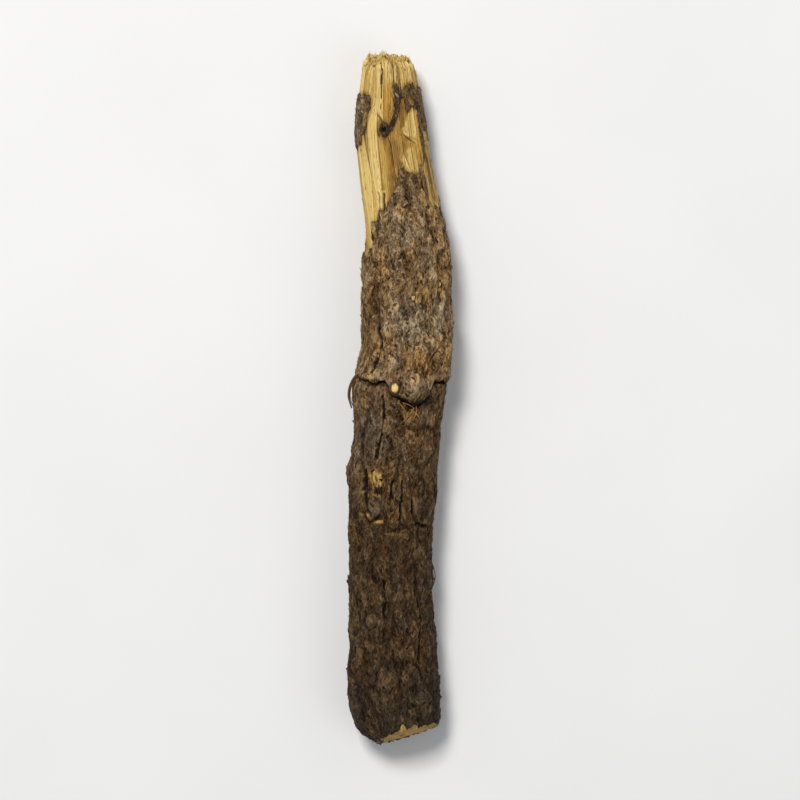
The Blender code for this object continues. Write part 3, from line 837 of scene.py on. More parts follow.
def break_height(x, z):
    """The broken end's distance along the root, x and z from the section's middle."""
    grid = round(BREAK_SPAN / BREAK_GRAIN)
    across, up = x / BREAK_SPAN + 0.5, z / BREAK_SPAN + 0.5
    height = BREAK_RELIEF * noise(across, up, grid, grid, BREAK_SEED)
    height += BREAK_DOME * (1 - (x**2 + z**2) / BREAK_DOME_RADIUS**2) + BREAK_SLOPE_UP * z
    height += BREAK_SLOPE_SIDE * x
    for size, rise, seed in BUNDLES:
        count = round(BREAK_SPAN / size)
        border, own = cells(across, up, count, count, seed)
        height += rise * (own - 0.5) * smooth_step(0, 0.2, border)
        height -= 0.2 * rise * (1 - smooth_step(0, 0.15, border))
    return np.minimum(BREAK_MIDDLE + height, BREAK_MOST)


def rim_distance(angle, radius_of, height_of, guess):
    """Where the side of the root meets an end face, found by stepping towards it."""
    distance = np.full_like(angle, guess)
    for _ in range(STEPS_TO_RIM):
        radius = radius_of(angle, distance)
        distance = height_of(radius * np.sin(angle), radius * np.cos(angle))
    return distance


def end_face(angle, shares, rim_radius, rim, height_of, middle):
    """Rings of an end face, from the given shares of the way out to its rim."""
    share = shares[:, None]
    radius = rim_radius * share
    x, z = radius * np.sin(angle), radius * np.cos(angle)
    across, up = axis_at(rim)
    middle_across, middle_up = axis_at(np.full_like(rim, middle))
    across = middle_across + (across - middle_across) * share
    up = middle_up + (up - middle_up) * share
    return np.stack([across + x, height_of(x, z) - LENGTH / 2, up + z], axis=-1)


def averaged(field, rows, columns):
    """Mean over a patch of the grid, which closes round the root."""
    wide = sum(np.roll(field, step, axis=1) for step in range(-columns, columns + 1))
    padded = np.pad(wide / (2 * columns + 1), ((rows, rows), (0, 0)), mode="edge")
    return sum(padded[step:step + len(field)] for step in range(2 * rows + 1)) / (2 * rows + 1)


def spots(kind, angle, distance):
    """Strength of one kind of spot, its soft edge broken up by noise."""
    strength = np.zeros_like(angle)
    ragged = noises(angle, distance, SPOT_EDGES)
    for degrees, along, half_width, half_length, most in SPOTS[kind]:
        aside = turn_between(angle, math.radians(degrees)) * MEAN_RADIUS / (half_width * MM)
        away = np.hypot(aside, (distance - along * MM) / (half_length * MM))
        strength = np.maximum(strength, most * (1 - smooth_step(0.45, 1.15, away + ragged)))
    return strength


def grid_angles(columns):
    """Angles round the root, closer together on the side that shows."""
    even = np.linspace(-math.pi, math.pi, columns, endpoint=False)
    return even - CROWDING * np.sin(even)


# Meshes

def closed_skin(rings):
    """Points and faces of a closed skin over rings, from its low end to its high end."""
    rows, columns = rings.shape[:2]
    points = np.vstack([rings.reshape(-1, 3), rings[0].mean(axis=0), rings[-1].mean(axis=0)])
    index = np.arange(rows * columns).reshape(rows, columns)
    right = np.roll(index, -1, axis=1)
    quads = np.stack([index[:-1], right[:-1], right[1:], index[1:]], axis=-1).reshape(-1, 4)
    low = np.full(columns, rows * columns)
    fans = np.vstack(
        [
            np.column_stack([index[0], low, right[0]]),
            np.column_stack([index[-1], right[-1], low + 1]),
        ]
    )
    return points, quads, fans


def store(mesh, name, values):
    held = mesh.attributes.new(name, "FLOAT", "POINT")
    held.data.foreach_set("value", values.astype(np.float32))


def mesh_of(name, skins, fields=None):
    """One mesh of closed skins, with fields of values at the points of the first one."""
    points, faces, start = [], [], 0
    for corners, quads, fans in skins:
        points.append(corners)
        faces += (quads + start).tolist() + (fans + start).tolist()
        start += len(corners)
    mesh = bpy.data.meshes.new(name)
    mesh.from_pydata(np.vstack(points).tolist(), [], faces)
    for field, values in (fields or {}).items():
        ends = [values[0].mean(), values[-1].mean()]
        store(mesh, field, np.concatenate([values.ravel(), ends]))
    mesh.shade_smooth()
    return mesh


def new_piece(name, mesh, material):
    """Shows a mesh as a piece of the root, which rides on its only body."""
    piece = bpy.data.objects.new(name, mesh)
    looks.objects.link(piece)
    mesh.materials.append(material)
    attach(piece, "root")
    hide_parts(NODE)


def ring_turns(sides):
    return np.arange(sides) * 2 * math.pi / sides


def swept(path, radii, sides, flatness):
    """A closed tube along a smooth path, flattened across the way it stands off the root."""
    path = np.array(path, float)
    knots = np.arange(len(path))
    fine = np.linspace(0, len(path) - 1, STEPS_IN_SWEEP * (len(path) - 1) + 1)
    line = np.column_stack([curve_through(knots, path[:, axis], fine) for axis in range(3)])
    radius = np.interp(fine, knots, radii)[:, None, None]
    ahead = np.gradient(line, axis=0)
    ahead /= np.linalg.norm(ahead, axis=1)[:, None]
    across, up = axis_at(line[:, 1] + LENGTH / 2)
    out = line - np.column_stack([across, line[:, 1], up])
    aside = np.cross(ahead, out)
    aside /= np.linalg.norm(aside, axis=1)[:, None]
    out = np.cross(aside, ahead)
    turn = ring_turns(sides)
    round_it = (
        np.cos(turn)[None, :, None] * out[:, None] * flatness
        + np.sin(turn)[None, :, None] * aside[:, None]
    )
    rings = line[:, None] + radius * round_it
    rings[..., 2] = np.maximum(rings[..., 2], 0)
    return closed_skin(rings)


# The bark

def bark_fields(angle, distance, height, tone, bare):
    """What the bark's material reads, and how thickly flakes and fibres cover it."""
    # The relief also sets the bark's colour level: high places are painted lighter as highlight and
    # hollows darker as shade
    local = height - averaged(height, 4, 4)
    broad = height - averaged(height, 14, 16)
    relief = 0.46 + local / (0.72 * MM) + broad / (3.6 * MM)
    relief += 0.5 * smooth_step(*THIN_BARK, distance) * (0.38 - relief)
    patches = noises(angle, distance, RUST_PATCHES)
    rust = 0.75 * smooth_step(0.05, 0.75, patches + 0.6 * (tone - 0.5))
    rust = np.maximum(rust, spots("rust", angle, distance))
    torn = 1 - smooth_step(0, 0.35 * MM, np.abs(bare - 0.1 * MM))
    torn *= smooth_step(0.1, 0.5, fine_noise(angle, distance, *TORN_PATCHES))
    # Painted shade on the bark where it dips under the torn edge of the wood
    edge = 1 - smooth_step(0.1 * MM, 0.9 * MM, np.abs(bare - 0.2 * MM))
    worn = noises(angle, distance, GREY_PATCHES)
    grey = 0.7 * smooth_step(0.0, 0.8, worn - 0.5 * (tone - 0.5))
    grey = np.maximum(grey, spots("grey", angle, distance))
    yellow = np.maximum(spots("yellow", angle, distance), 0.3 * torn)
    flecks = fine_noise(angle, distance, *FLECKS) * (0.5 + tone)
    flecked = 0.15 + 0.45 * smooth_step(80 * MM, 100 * MM, distance)
    yellow = np.maximum(yellow, flecked * smooth_step(0.62, 0.85, flecks))
    chalk = 0.25 * smooth_step(0.25, 0.75, fine_noise(angle, distance, *CHALK_PATCHES))
    chalk = np.maximum(chalk, spots("chalk", angle, distance))
    fissures = fissure_depths(*wandering(angle, distance), CRACKS) / (0.7 * MM)
    crust = 1 - smooth_step(-0.4 * MM, 0.6 * MM, crust_gap(angle, distance))
    islands = 0.25 * smooth_step(*THIN_BARK, distance)
    dark = spots("dark", angle, distance)
    # Painted shade in the cracks' bottoms and under torn edges; the crust and the thin bark are darker
    # of their own
    for shade in (0.8 * fissures, 0.75 * crust, islands, 0.55 * edge):
        dark = np.maximum(dark, shade)
    cover = (height > -1.2 * MM) * (bare < -0.3 * MM) * (0.35 + 0.65 * relief)
    return {
        "relief": np.clip(relief, 0, 1),
        "rust": np.clip(rust, 0, 1),
        "grey": np.clip(grey * (1 - 0.5 * rust), 0, 1),
        "yellow": np.clip(yellow, 0, 1),
        "tone": tone,
        "dark": np.clip(dark, 0, 1),
        "chalk": np.clip(chalk, 0, 1),
        "cover": np.clip(cover, 0, 1),
    }


def bark_relief(angle, distance):
    """The bark's relief with its dip under the bare wood, and what its material reads."""
    moved_angle, moved = wandering(angle, distance)
    thin = smooth_step(*THIN_BARK, distance)
    forms = bark_forms(moved_angle, moved)
    height = forms + thin * (THIN_BARK_LEVEL - 0.75 * forms)
    grain, tone = bark_grain(moved_angle, moved)
    bare = bare_wood_depth(moved_angle, moved) + BARK_RECEDES
    bare = np.minimum(bare, crust_gap(moved_angle, moved))
    bare = bare + MM * noises(angle, distance, TORN_EDGE_JAGS)
    crust = 1 - smooth_step(0, 0.5 * MM, crust_gap(angle, distance))
    height += grain * (1 - 0.4 * thin)
    height += crust * (CRUST_LEVEL - THIN_BARK_LEVEL)
    height += crust * 0.55 * MM * (0.1 + fine_noise(angle, distance, *CRUST_LUMPS))
    over_wood = wood_forms(angle, distance)[0] + thin * (THIN_BARK_RISE + 0.5 * grain)
    height = np.where(thin > 0, np.maximum(height, over_wood - 3 * MM * (1 - thin)), height)
    lifted = np.exp(-(((bare + 0.8 * MM) / (0.6 * MM)) ** 2))
    height += 0.22 * MM * lifted * fine_noise(angle, distance, *EDGES_LIFT)
    knot = lump_heights(angle, distance, [KNOT + KNOT_COLLAR])
    knot -= lump_heights(angle, distance, [KNOT + KNOT_HOLE])
    height += knot - 0.6 * fissure_depths(moved_angle, moved, CRACKS[1:])
    dip = (BARK_THICKNESS + UNDER_WOOD + height) * smooth_step(*TORN_EDGE, bare)
    return height - dip, bark_fields(angle, distance, height, tone, bare)


def jagged(around, edge, jags):
    """An edge that runs round the root, made ragged."""
    for reach, width, length, seed in jags:
        edge = edge + reach * MM * fine_noise(around, edge, width, length, seed)
    return edge


def bark_below_ring():
    angle = np.tile(grid_angles(BARK_COLUMNS), (BARK_RINGS, 1))
    around = angle[0]
    low = rim_distance(around, surface_radius, cut_height, CUT_MIDDLE)
    chipped = smooth_step(-0.1, 0.8, fine_noise(around, low, *SAW_CHIPS))
    chipped *= 0.4 + 1.6 * np.exp(-((turn_between(around, CHIPPED_SIDE) / CHIPPED_SPREAD) ** 2))
    low = low + CHIP_LENGTH * chipped
    low = jagged(around, low, SAWN_JAGS)
    high = ring_edge(around) + UNDER_RING
    share = np.linspace(0, 1, BARK_RINGS)[:, None]
    distance = low + share * (high - low)
    height, fields = bark_relief(angle, distance)
    height -= crack_depths(angle, distance, CRACKS[:1])
    height -= UNDER_RING_DROP * smooth_step(-1.6 * MM, 1.2 * MM, distance - ring_edge(around))
    rounding = 0.7 * MM * np.exp(-(distance - low) / (0.5 * MM))
    rings = place_at(angle, distance, plain_radius(angle, distance) + height - rounding)
    middle = rings[0].mean(axis=0)
    inward = [
        middle + (rings[0] - middle) * part + [0, sunk * MM, 0]
        for part, sunk in ((0.8, 0.5), (0.93, 0.12))
    ]
    below = ring_edge(around) - distance
    below = below + 0.6 * MM * fine_noise(angle, distance, *RING_SHADE_EDGE)
    shaded = RING_SHADE * (1 - smooth_step(0.4 * MM, 2.0 * MM, below))
    fields["dark"] = np.maximum(fields["dark"], shaded)
    fields["cover"] *= rings[..., 2] > FLAKES_CLEAR
    fields = {name: np.vstack([values[:1], values[:1], values]) for name, values in fields.items()}
    return mesh_of("bark_below_ring", [closed_skin(np.concatenate([inward, rings]))], fields)


def bark_above_ring():
    rows = BARK_RINGS - len(LIP)
    around = grid_angles(BARK_COLUMNS)
    edge = jagged(around, ring_edge(around), RING_JAGS)
    share = np.linspace(0, 1, rows)[:, None]
    distance = edge + share * (BARK_TOP - edge)
    angle = np.tile(around, (rows, 1))
    height, fields = bark_relief(angle, distance)
    radius = plain_radius(angle, distance) + height
    rings = place_at(angle, distance, radius)
    lip = [place_at(around, edge + along * MM, radius[0] + sunk * MM) for along, sunk in LIP]
    lead = len(LIP)
    fields["cover"] *= rings[..., 2] > FLAKES_CLEAR
    fields = {name: np.vstack([values[:1]] * lead + [values]) for name, values in fields.items()}
    shaded = LIP_SHADE * (1 - smooth_step(0.2 * MM, 1.8 * MM, distance - edge))
    fields["dark"][lead:] = np.maximum(fields["dark"][lead:], shaded)
    # The rolled lip takes the lowest level, painted shade under its curl
    fields["relief"][:lead] = 0
    fields["cover"][:lead] = 0
    return mesh_of("bark_above_ring", [closed_skin(np.concatenate([lip, rings]))], fields)


# The wood

def wood_radius(angle, distance):
    return outer_radius(angle, distance) + wood_forms(angle, distance)[0]


def wood_colours(angle, distance, moved, bare, frayed):
    """Pale, stained and golden places, partly painted shade, and how thickly loose fibres cover the
    wood.
    """
    pale = np.maximum(spots("pale", angle, distance), 0.85 * frayed)
    for patch in PALE_PATCHES:
        inside = depth_inside(*moved, patch)
        inside = inside + 0.5 * MM * fine_noise(angle, distance, *PALE_EDGES)
        pale = np.maximum(pale, 0.95 * smooth_step(-0.9 * MM, 0.7 * MM, inside))
    # Stains, and at 76 degrees painted shade
    stain_and_shade = spots("stain_and_shade", angle, distance)
    streaks = noises(angle, distance, WOOD_STREAKS)
    stain_and_shade = np.maximum(stain_and_shade, 0.45 * smooth_step(0.25, 0.9, streaks))
    under_bark = 1 - smooth_step(-0.2 * MM, 1.1 * MM, bare)
    beside_crust = 1 - smooth_step(0, 1.7 * MM, crust_gap(angle, distance))
    stain_and_shade = np.maximum(stain_and_shade, 0.8 * np.maximum(under_bark, beside_crust))
    # Darker golden wood on the right-hand side: partly its own colour, partly painted shade
    gold_and_shade = smooth_step(*GOLD_LEFT_EDGE, angle) * smooth_step(*GOLD_OUTER_EDGE, np.abs(angle))
    gold_and_shade *= 1 - smooth_step(*GOLD_TOP, distance)
    torn = smooth_step(0, 0.4 * MM, bare) * (1 - smooth_step(0.8 * MM, 2.2 * MM, bare))
    cover = np.clip(0.08 + 0.9 * frayed + 0.45 * torn, 0, 1) * (bare > 0.3 * MM)
    return {"pale": pale, "stain_and_shade": stain_and_shade, "gold_and_shade": gold_and_shade, "cover": cover}


def broken_face_fields(face):
    """What the wood's material reads on the broken face, where each bundle has its own tone."""
    across, up = face[..., 0] / BREAK_SPAN + 0.5, face[..., 2] / BREAK_SPAN
    own = cells(across, up, CAP_CELLS, CAP_CELLS, BUNDLES[0][2])[1]
    level = face[..., 1] - averaged(face[..., 1], 3, 6)
    return {
        # Low places of the broken face are painted darker as shade, high ones lighter as highlight
        "grain": np.clip(0.55 + level / (0.5 * MM), 0, 1),
        "pale": np.full(own.shape, 0.75),
        "stain_and_shade": 0.25 * own,
        "strip": own,
        "dark": np.clip(-level / (0.35 * MM), 0, 1) * 0.7,
        "gold_and_shade": np.zeros(own.shape),
        "cover": np.full(own.shape, 0.5),
    }


def bare_wood():
    """The wood from under the bark up to its frayed rim, and the broken face."""
    around = grid_angles(WOOD_COLUMNS)
    wobble = fine_noise(around, np.zeros_like(around), *GRAIN_WOBBLE) * 0.5 * MM / MEAN_RADIUS
    rim = rim_distance(around, wood_radius, break_height, BREAK_MIDDLE)
    share = np.linspace(0, 1, WOOD_RINGS)[:, None] ** 0.9
    distance = WOOD_START + share * (rim - WOOD_START)
    angle = np.tile(around, (WOOD_RINGS, 1))
    height, strip, dark = wood_forms(angle + wobble * share, distance)
    moved = wandering(angle, distance)
    bare = bare_wood_depth(*moved)
    height -= 1.8 * MM * smooth_step(0.4 * MM, 3.0 * MM, -bare)
    frayed = np.exp(-(rim - distance) / (1.6 * MM))
    pits = smooth_step(0.45, 0.8, fine_noise(angle, distance, *FRAYED_PITS))
    pits *= smooth_step(0.1, 0.4, frayed)
    height -= 0.5 * MM * pits
    height += MM * frayed * noises(angle, distance, FRAYING)
    height -= 1.3 * MM * np.exp(-(rim - distance) / (1.1 * MM))
    radius = outer_radius(angle, distance) + height
    rings = place_at(angle, distance, radius)
    shares = np.linspace(1, 0.02, CAP_RINGS + 1)[1:]
    face = end_face(around, shares, radius[-1], rim, break_height, BREAK_MIDDLE)

    # The grain's relief also sets the wood's colour: raised fibres are painted lighter as highlight,
    # grooves darker as shade
    local = height - averaged(height, 2, 4)
    fields = wood_colours(angle, distance, moved, bare, frayed)
    fields["grain"] = np.clip(0.5 + local / (0.34 * MM), 0, 1)
    fields["strip"] = strip
    # Painted shade in the pits of the frayed rim
    fields["dark"] = np.clip(np.maximum(dark, 0.7 * pits), 0, 1)
    cap = broken_face_fields(face)
    fields = {name: np.vstack([values, cap[name]]) for name, values in fields.items()}
    return mesh_of("bare_wood", [closed_skin(np.concatenate([rings, face]))], fields)


# The saw cut

def sawn_radius(angle, distance):
    """Radius of the sawn wood's flank, ragged where it shows under the bark."""
    return surface_radius(angle, distance) - SAWN_INSET + MM * noises(angle, distance, SAWN_FLANK)


def sawn_height(x, z):
    """The saw cut with its rays, saw marks, cracks and sunken pith."""
    turn, away = np.arctan2(x, z), np.hypot(x, z)
    marks = np.sin((0.8 * x + 0.6 * z) * 2 * math.pi / SAW_MARKS)
    height = cut_height(x, z) - 0.06 * MM * rays_on_cut(turn, away, RAYS) - 0.03 * MM * marks
    height += 1.3 * MM * cracks_on_cut(turn, away)
    return height + 0.6 * MM * np.exp(-((away / (0.7 * MM)) ** 2))


def sawn_end():
    """The sawn face, and the flank that runs up from its rim under the bark."""
    around = grid_angles(SAWN_COLUMNS)
    rim = rim_distance(around, sawn_radius, cut_height, CUT_MIDDLE)
    rim = rim + 0.15 * MM * fine_noise(around, rim, *SAWN_RIM)
    side = np.linspace(SAWN_REACH, 0, SAWN_SIDE_RINGS)[:, None]
    distance = rim + side
    angle = np.tile(around, (SAWN_SIDE_RINGS, 1))
    radius = sawn_radius(angle, distance) - 0.25 * MM * np.exp(-side / (0.2 * MM))
    flank = place_at(angle, distance, radius)
    shares = np.linspace(1, 0.015, SAWN_RINGS + 1)[1:]
    face = end_face(around, shares, radius[-1], rim, sawn_height, CUT_MIDDLE)
    rings = np.concatenate([flank, face])[::-1]

    share = np.concatenate([np.full(SAWN_SIDE_RINGS, 1.0), shares])[:, None] + 0 * around
    away = share * radius[-1]
    turn = np.broadcast_to(around, share.shape)
    rays = rays_on_cut(turn, away, RAYS) + 0.6 * rays_on_cut(turn, away, FINE_RAYS)
    from_rim = np.concatenate([side, (1 - shares)[:, None] * MEAN_RADIUS]) + 0 * around
    fields = {
        "ray": np.clip(0.5 + 0.5 * rays, 0, 1),
        "share": share,
        "crack": np.clip(cracks_on_cut(turn, away), 0, 1),
        "cover": np.exp(-from_rim / (0.7 * MM)),
    }
    fields = {name: values[::-1] for name, values in fields.items()}
    fields["cover"] = fields["cover"] * (rings[..., 2] > FLAKES_CLEAR)
    return mesh_of("sawn_end", [closed_skin(rings)], fields)


def rays_on_cut(turn, away, grid):
    return noise(turn / (2 * math.pi), away / RAY_SPAN, *grid)


def cracks_on_cut(turn, away):
    """1 in the cracks that run out from the pith, narrowing on the way."""
    depth = np.zeros_like(away)
    for degrees, reach, width in SAWN_CRACKS:
        bent = math.radians(degrees) + 0.12 * np.sin(away / (1.3 * MM))
        off = np.abs(turn_between(turn, bent)) * away
        open_to = np.maximum(width * MM * (1 - away / (reach * MM)), 1e-3 * MM)
        depth = np.maximum(depth, 1 - smooth_step(0.4, 1.0, off / open_to))
    return depth


# Small pieces that grow out of the root

def stub_collar(height):
    """Profile of a stub's bark: shares of its radius and heights in mm, from its foot up."""
    return (
        (1.5, -STUB_SINK), (1.5, -0.4), (1.22, 0.2 * height), (1.1, 0.6 * height),
        (1.02, 0.9 * height), (0.92, height), (0.8, height - 0.15), (0.3, height - 0.5),
    )


def stub_face(height):
    """Profile of a stub's wood, in the same way."""
    return (
        (0.84, -STUB_SINK), (0.86, height - 0.2), (0.8, height + 0.05), (0.5, height + 0.2),
        (0.15, height + 0.22),
    )


def stub_meshes():
    """Collars of bark and cut faces of wood of the side roots' stubs, the old ones rougher."""
    collars, faces, freshness = [], [], []
    draw = np.random.default_rng(STUB_SEED)
    turn = np.linspace(0, 2 * math.pi, STUB_SIDES, endpoint=False)
    for degrees, along, radius, height, fresh in STUBS:
        angle, distance = np.radians([degrees]), np.array([along * MM])
        base = place_at(angle, distance, surface_radius(angle, distance))[0]
        out = np.array([math.sin(angle[0]), draw.uniform(-0.2, 0.2), math.cos(angle[0])])
        out /= np.linalg.norm(out)
        aside = np.cross(out, [0, 1, 0])
        aside /= np.linalg.norm(aside)
        ahead = np.cross(aside, out)
        wave = sum(
            draw.uniform(-0.14, 0.14) * np.sin(count * turn + draw.uniform(0, 6))
            for count in (1, 2, 3, 5)
        )
        calm = smooth_step(0.9, 1.0, fresh)
        wave = wave * (1 - 0.75 * calm)
        uneven = 0.09 * (1 - 0.6 * calm)
        long_way = draw.uniform(1.3, 1.6)
        round_it = np.cos(turn)[:, None] * aside + np.sin(turn)[:, None] * ahead * long_way
        lean = draw.uniform(-0.25, 0.25) * np.cos(turn) + draw.uniform(-0.25, 0.25) * np.sin(turn)

        def rings(profile):
            rows = []
            for width, up in profile:
                rough = 1 + wave + uneven * draw.uniform(-1, 1, STUB_SIDES)
                ring = base + up * MM * out + round_it * (rough * width * radius * MM)[:, None]
                up_and_down = lean * width + 1.2 * uneven * draw.uniform(-1, 1, STUB_SIDES)
                rows.append(ring + (up_and_down * radius * MM)[:, None] * out)
            rows = np.array(rows)
            rows[..., 2] = np.maximum(rows[..., 2], 0)
            return closed_skin(rows)

        collars.append(rings(stub_collar(height)))
        faces.append(rings(stub_face(height)))
        shades = fresh * STUB_SHADES
        freshness.append(np.concatenate([np.repeat(shades, STUB_SIDES), shades[[0, -1]]]))
    collar_mesh, face_mesh = mesh_of("stub_bark", collars), mesh_of("stub_wood", faces)
    store(face_mesh, "tone", np.concatenate(freshness))
    return collar_mesh, face_mesh


def strands(paths, radius, least, sides, flatness=1.0):
    """Closed tubes over the root's surface, thinner towards their tips."""
    return [
        swept(over_surface(path), radius * np.linspace(1, least, len(path)), sides, flatness)
        for path in paths
    ]


def curl_mesh():
    curls = strands(CURLS, CURL_RADIUS, 0.45, 12, CURL_FLATNESS)
    strips = strands(STRIPS_OF_BARK, STRIP_RADIUS, 0.4, 8, CURL_FLATNESS)
    return mesh_of("bark_curls", curls + strips)


def fan_mesh():
    return mesh_of("fibre_fan", strands(FIBRE_FAN, FIBRE_RADIUS, 0.35, 6))


# Materials

def add(tree, kind, values=None, **settings):
    """A new node with its settings, and its sockets set to values or linked to other sockets."""
    node = tree.nodes.new(kind)
    for name, value in settings.items():
        setattr(node, name, value)
    for name, value in (values or {}).items():
        if isinstance(value, bpy.types.NodeSocket):
            tree.links.new(value, node.inputs[name])
        else:
            node.inputs[name].default_value = value
    return node


def math_node(tree, operation, a, b=0.0, clamp=False):
    node = add(tree, "ShaderNodeMath", {0: a, 1: b}, operation=operation, use_clamp=clamp)
    return node.outputs[0]


def centred(tree, level, gain):
    """A level of 0 to 1 moved to swing about zero, times a gain."""
    return math_node(tree, "MULTIPLY", math_node(tree, "SUBTRACT", level, 0.5), gain)


def weighted(tree, *terms):
    """Sum of levels, each times its weight."""
    total, *others = [math_node(tree, "MULTIPLY", level, weight) for level, weight in terms]
    for other in others:
        total = math_node(tree, "ADD", total, other)
    return total


def mixed(tree, share, first, second, blend="MIX"):
    """Mix of two colours, each a socket or a linear red, green and blue."""
    values = {"Factor": share}
    for index, colour in ((6, first), (7, second)):
        values[index] = colour if isinstance(colour, bpy.types.NodeSocket) else (*colour, 1)
    node = add(tree, "ShaderNodeMix", values, data_type="RGBA", blend_type=blend)
    return node.outputs[2]


def ramp(tree, share, *stops):
    """Colours along a line, each stop a place and a linear red, green and blue."""
    node = add(tree, "ShaderNodeValToRGB", {"Fac": share})
    line = node.color_ramp.elements
    while len(line) < len(stops):
        line.new(0.5)
    for element, (place, colour) in zip(line, stops):
        element.position = place
        element.color = (*colour, 1)
    return node.outputs["Color"]


def attribute(tree, name):
    return add(tree, "ShaderNodeAttribute", attribute_name=name).outputs["Fac"]


def grain_noise(tree, size, stretch=1.0, detail=4.0, roughness=0.6, turn=0.0):
    """Noise with grains of a size in metres, drawn out along the root."""
    place = add(tree, "ShaderNodeTexCoord").outputs["Object"]
    scale = (1, 1 / stretch, 1)
    placed = add(tree, "ShaderNodeMapping", {"Vector": place, "Rotation": (0, 0, turn), "Scale": scale})
    values = {"Vector": placed.outputs[0], "Scale": 1 / size, "Detail": detail, "Roughness": roughness}
    return add(tree, "ShaderNodeTexNoise", values).outputs["Fac"]


def soft_range(tree, level, low, high, first, last):
    """A level between low and high, led softly from first to last."""
    values = {"Value": level, "From Min": low, "From Max": high, "To Min": first, "To Max": last}
    return add(tree, "ShaderNodeMapRange", values, interpolation_type="SMOOTHSTEP").outputs[0]


def strand_lines(tree, size, stretch, turn):
    """Thin lines along the middle values of a drawn-out noise, 1 on the line."""
    level = grain_noise(tree, size, stretch, 1.0, 0.5, turn)
    away = math_node(tree, "ABSOLUTE", math_node(tree, "SUBTRACT", level, 0.5))
    return soft_range(tree, away, 0.0, STRAND_WIDTH, 1.0, 0.0)


def new_material(name, roughness, specular=0.15):
    """A material and its tree, whose shader and output are in place."""
    material = bpy.data.materials.new(name)
    material.use_nodes = True
    tree = material.node_tree
    shader = tree.nodes["Principled BSDF"]
    shader.inputs["Roughness"].default_value = roughness
    shader.inputs["Specular IOR Level"].default_value = specular
    return material, tree, shader


def bump(tree, shader, height, distance):
    node = add(tree, "ShaderNodeBump", {"Height": height, "Distance": distance, "Strength": 1.0})
    tree.links.new(node.outputs[0], shader.inputs["Normal"])


def dark_bark_and_painted_shade_below_ring(tree, colour):
    """The bark below the ring crack is darker, most of all at the saw cut: partly the bark's own
    colour, partly painted shade.
    """
    place = add(tree, "ShaderNodeSeparateXYZ", {0: add(tree, "ShaderNodeTexCoord").outputs["Object"]})
    along = add(
        tree, "ShaderNodeMapRange",
        {"Value": place.outputs["Y"], "From Min": -LENGTH / 2, "From Max": LENGTH / 2},
    )
    dusk = ramp(
        tree, along.outputs[0],
        (0.0, (0.23, 0.23, 0.25)), (0.33, (0.31, 0.28, 0.25)), (0.42, (0.50, 0.47, 0.44)),
        (0.50, (0.55, 0.52, 0.50)), (0.53, (1.0, 1.0, 1.0)),
    )
    return mixed(tree, 1.0, colour, dusk, "MULTIPLY")


def bark_material():
    material, tree, shader = new_material("licorice_bark", 0.82)
    lines = 0.0
    for size, stretch, turn in BARK_STRANDS:
        lines = math_node(tree, "MAXIMUM", strand_lines(tree, size, stretch, turn), lines)
    fine = centred(tree, grain_noise(tree, 0.5 * MM, 1.6, 4.0, 0.75), 1.5)
    fine = math_node(tree, "ADD", fine, math_node(tree, "MULTIPLY", lines, 0.40))
    fine = math_node(tree, "SUBTRACT", fine, 0.13)
    height = math_node(tree, "ADD", attribute(tree, "relief"), fine)
    tone = centred(tree, attribute(tree, "tone"), 0.35)
    level = math_node(tree, "ADD", height, tone, clamp=True)

    # The colour level follows the relief and fine noise: painted highlight on ridges and painted shade
    # in hollows, with each scale's own tone
    brown = ramp(
        tree, level,
        (0.0, (0.022, 0.011, 0.004)), (0.25, (0.098, 0.055, 0.020)), (0.5, (0.190, 0.111, 0.046)),
        (0.75, (0.285, 0.178, 0.080)), (1.0, (0.48, 0.34, 0.18)),
    )
    rusty = ramp(
        tree, level,
        (0.0, (0.020, 0.008, 0.002)), (0.25, (0.088, 0.038, 0.009)), (0.5, (0.195, 0.092, 0.022)),
        (0.75, (0.34, 0.178, 0.048)), (1.0, (0.58, 0.36, 0.125)),
    )
    greyish = ramp(
        tree, level,
        (0.0, (0.022, 0.015, 0.009)), (0.25, (0.086, 0.060, 0.036)), (0.5, (0.165, 0.117, 0.070)),
        (0.75, (0.26, 0.193, 0.122)), (1.0, (0.46, 0.36, 0.25)),
    )
    chalky = ramp(
        tree, level,
        (0.0, (0.050, 0.034, 0.020)), (0.45, (0.19, 0.135, 0.082)), (0.7, (0.37, 0.29, 0.20)),
        (1.0, (0.62, 0.53, 0.40)),
    )
    yellow = ramp(
        tree, level,
        (0.0, (0.10, 0.044, 0.008)), (0.5, (0.42, 0.235, 0.060)), (1.0, (0.72, 0.48, 0.16)),
    )
    colour = mixed(tree, attribute(tree, "rust"), brown, rusty)
    colour = mixed(tree, attribute(tree, "grey"), colour, greyish)
    colour = mixed(tree, attribute(tree, "chalk"), colour, chalky)
    # Darker below the ring crack: partly the bark's own colour, partly painted shade
    colour = dark_bark_and_painted_shade_below_ring(tree, colour)
    colour = mixed(tree, attribute(tree, "yellow"), colour, yellow)
    # Mostly painted shade in cracks, under the ring crack's overhang and at torn edges; partly darker
    # bark and crust
    colour = mixed(tree, attribute(tree, "dark"), colour, (0.014, 0.007, 0.003))
    tree.links.new(colour, shader.inputs["Base Color"])
    bump(tree, shader, height, 0.16 * MM)
    return material


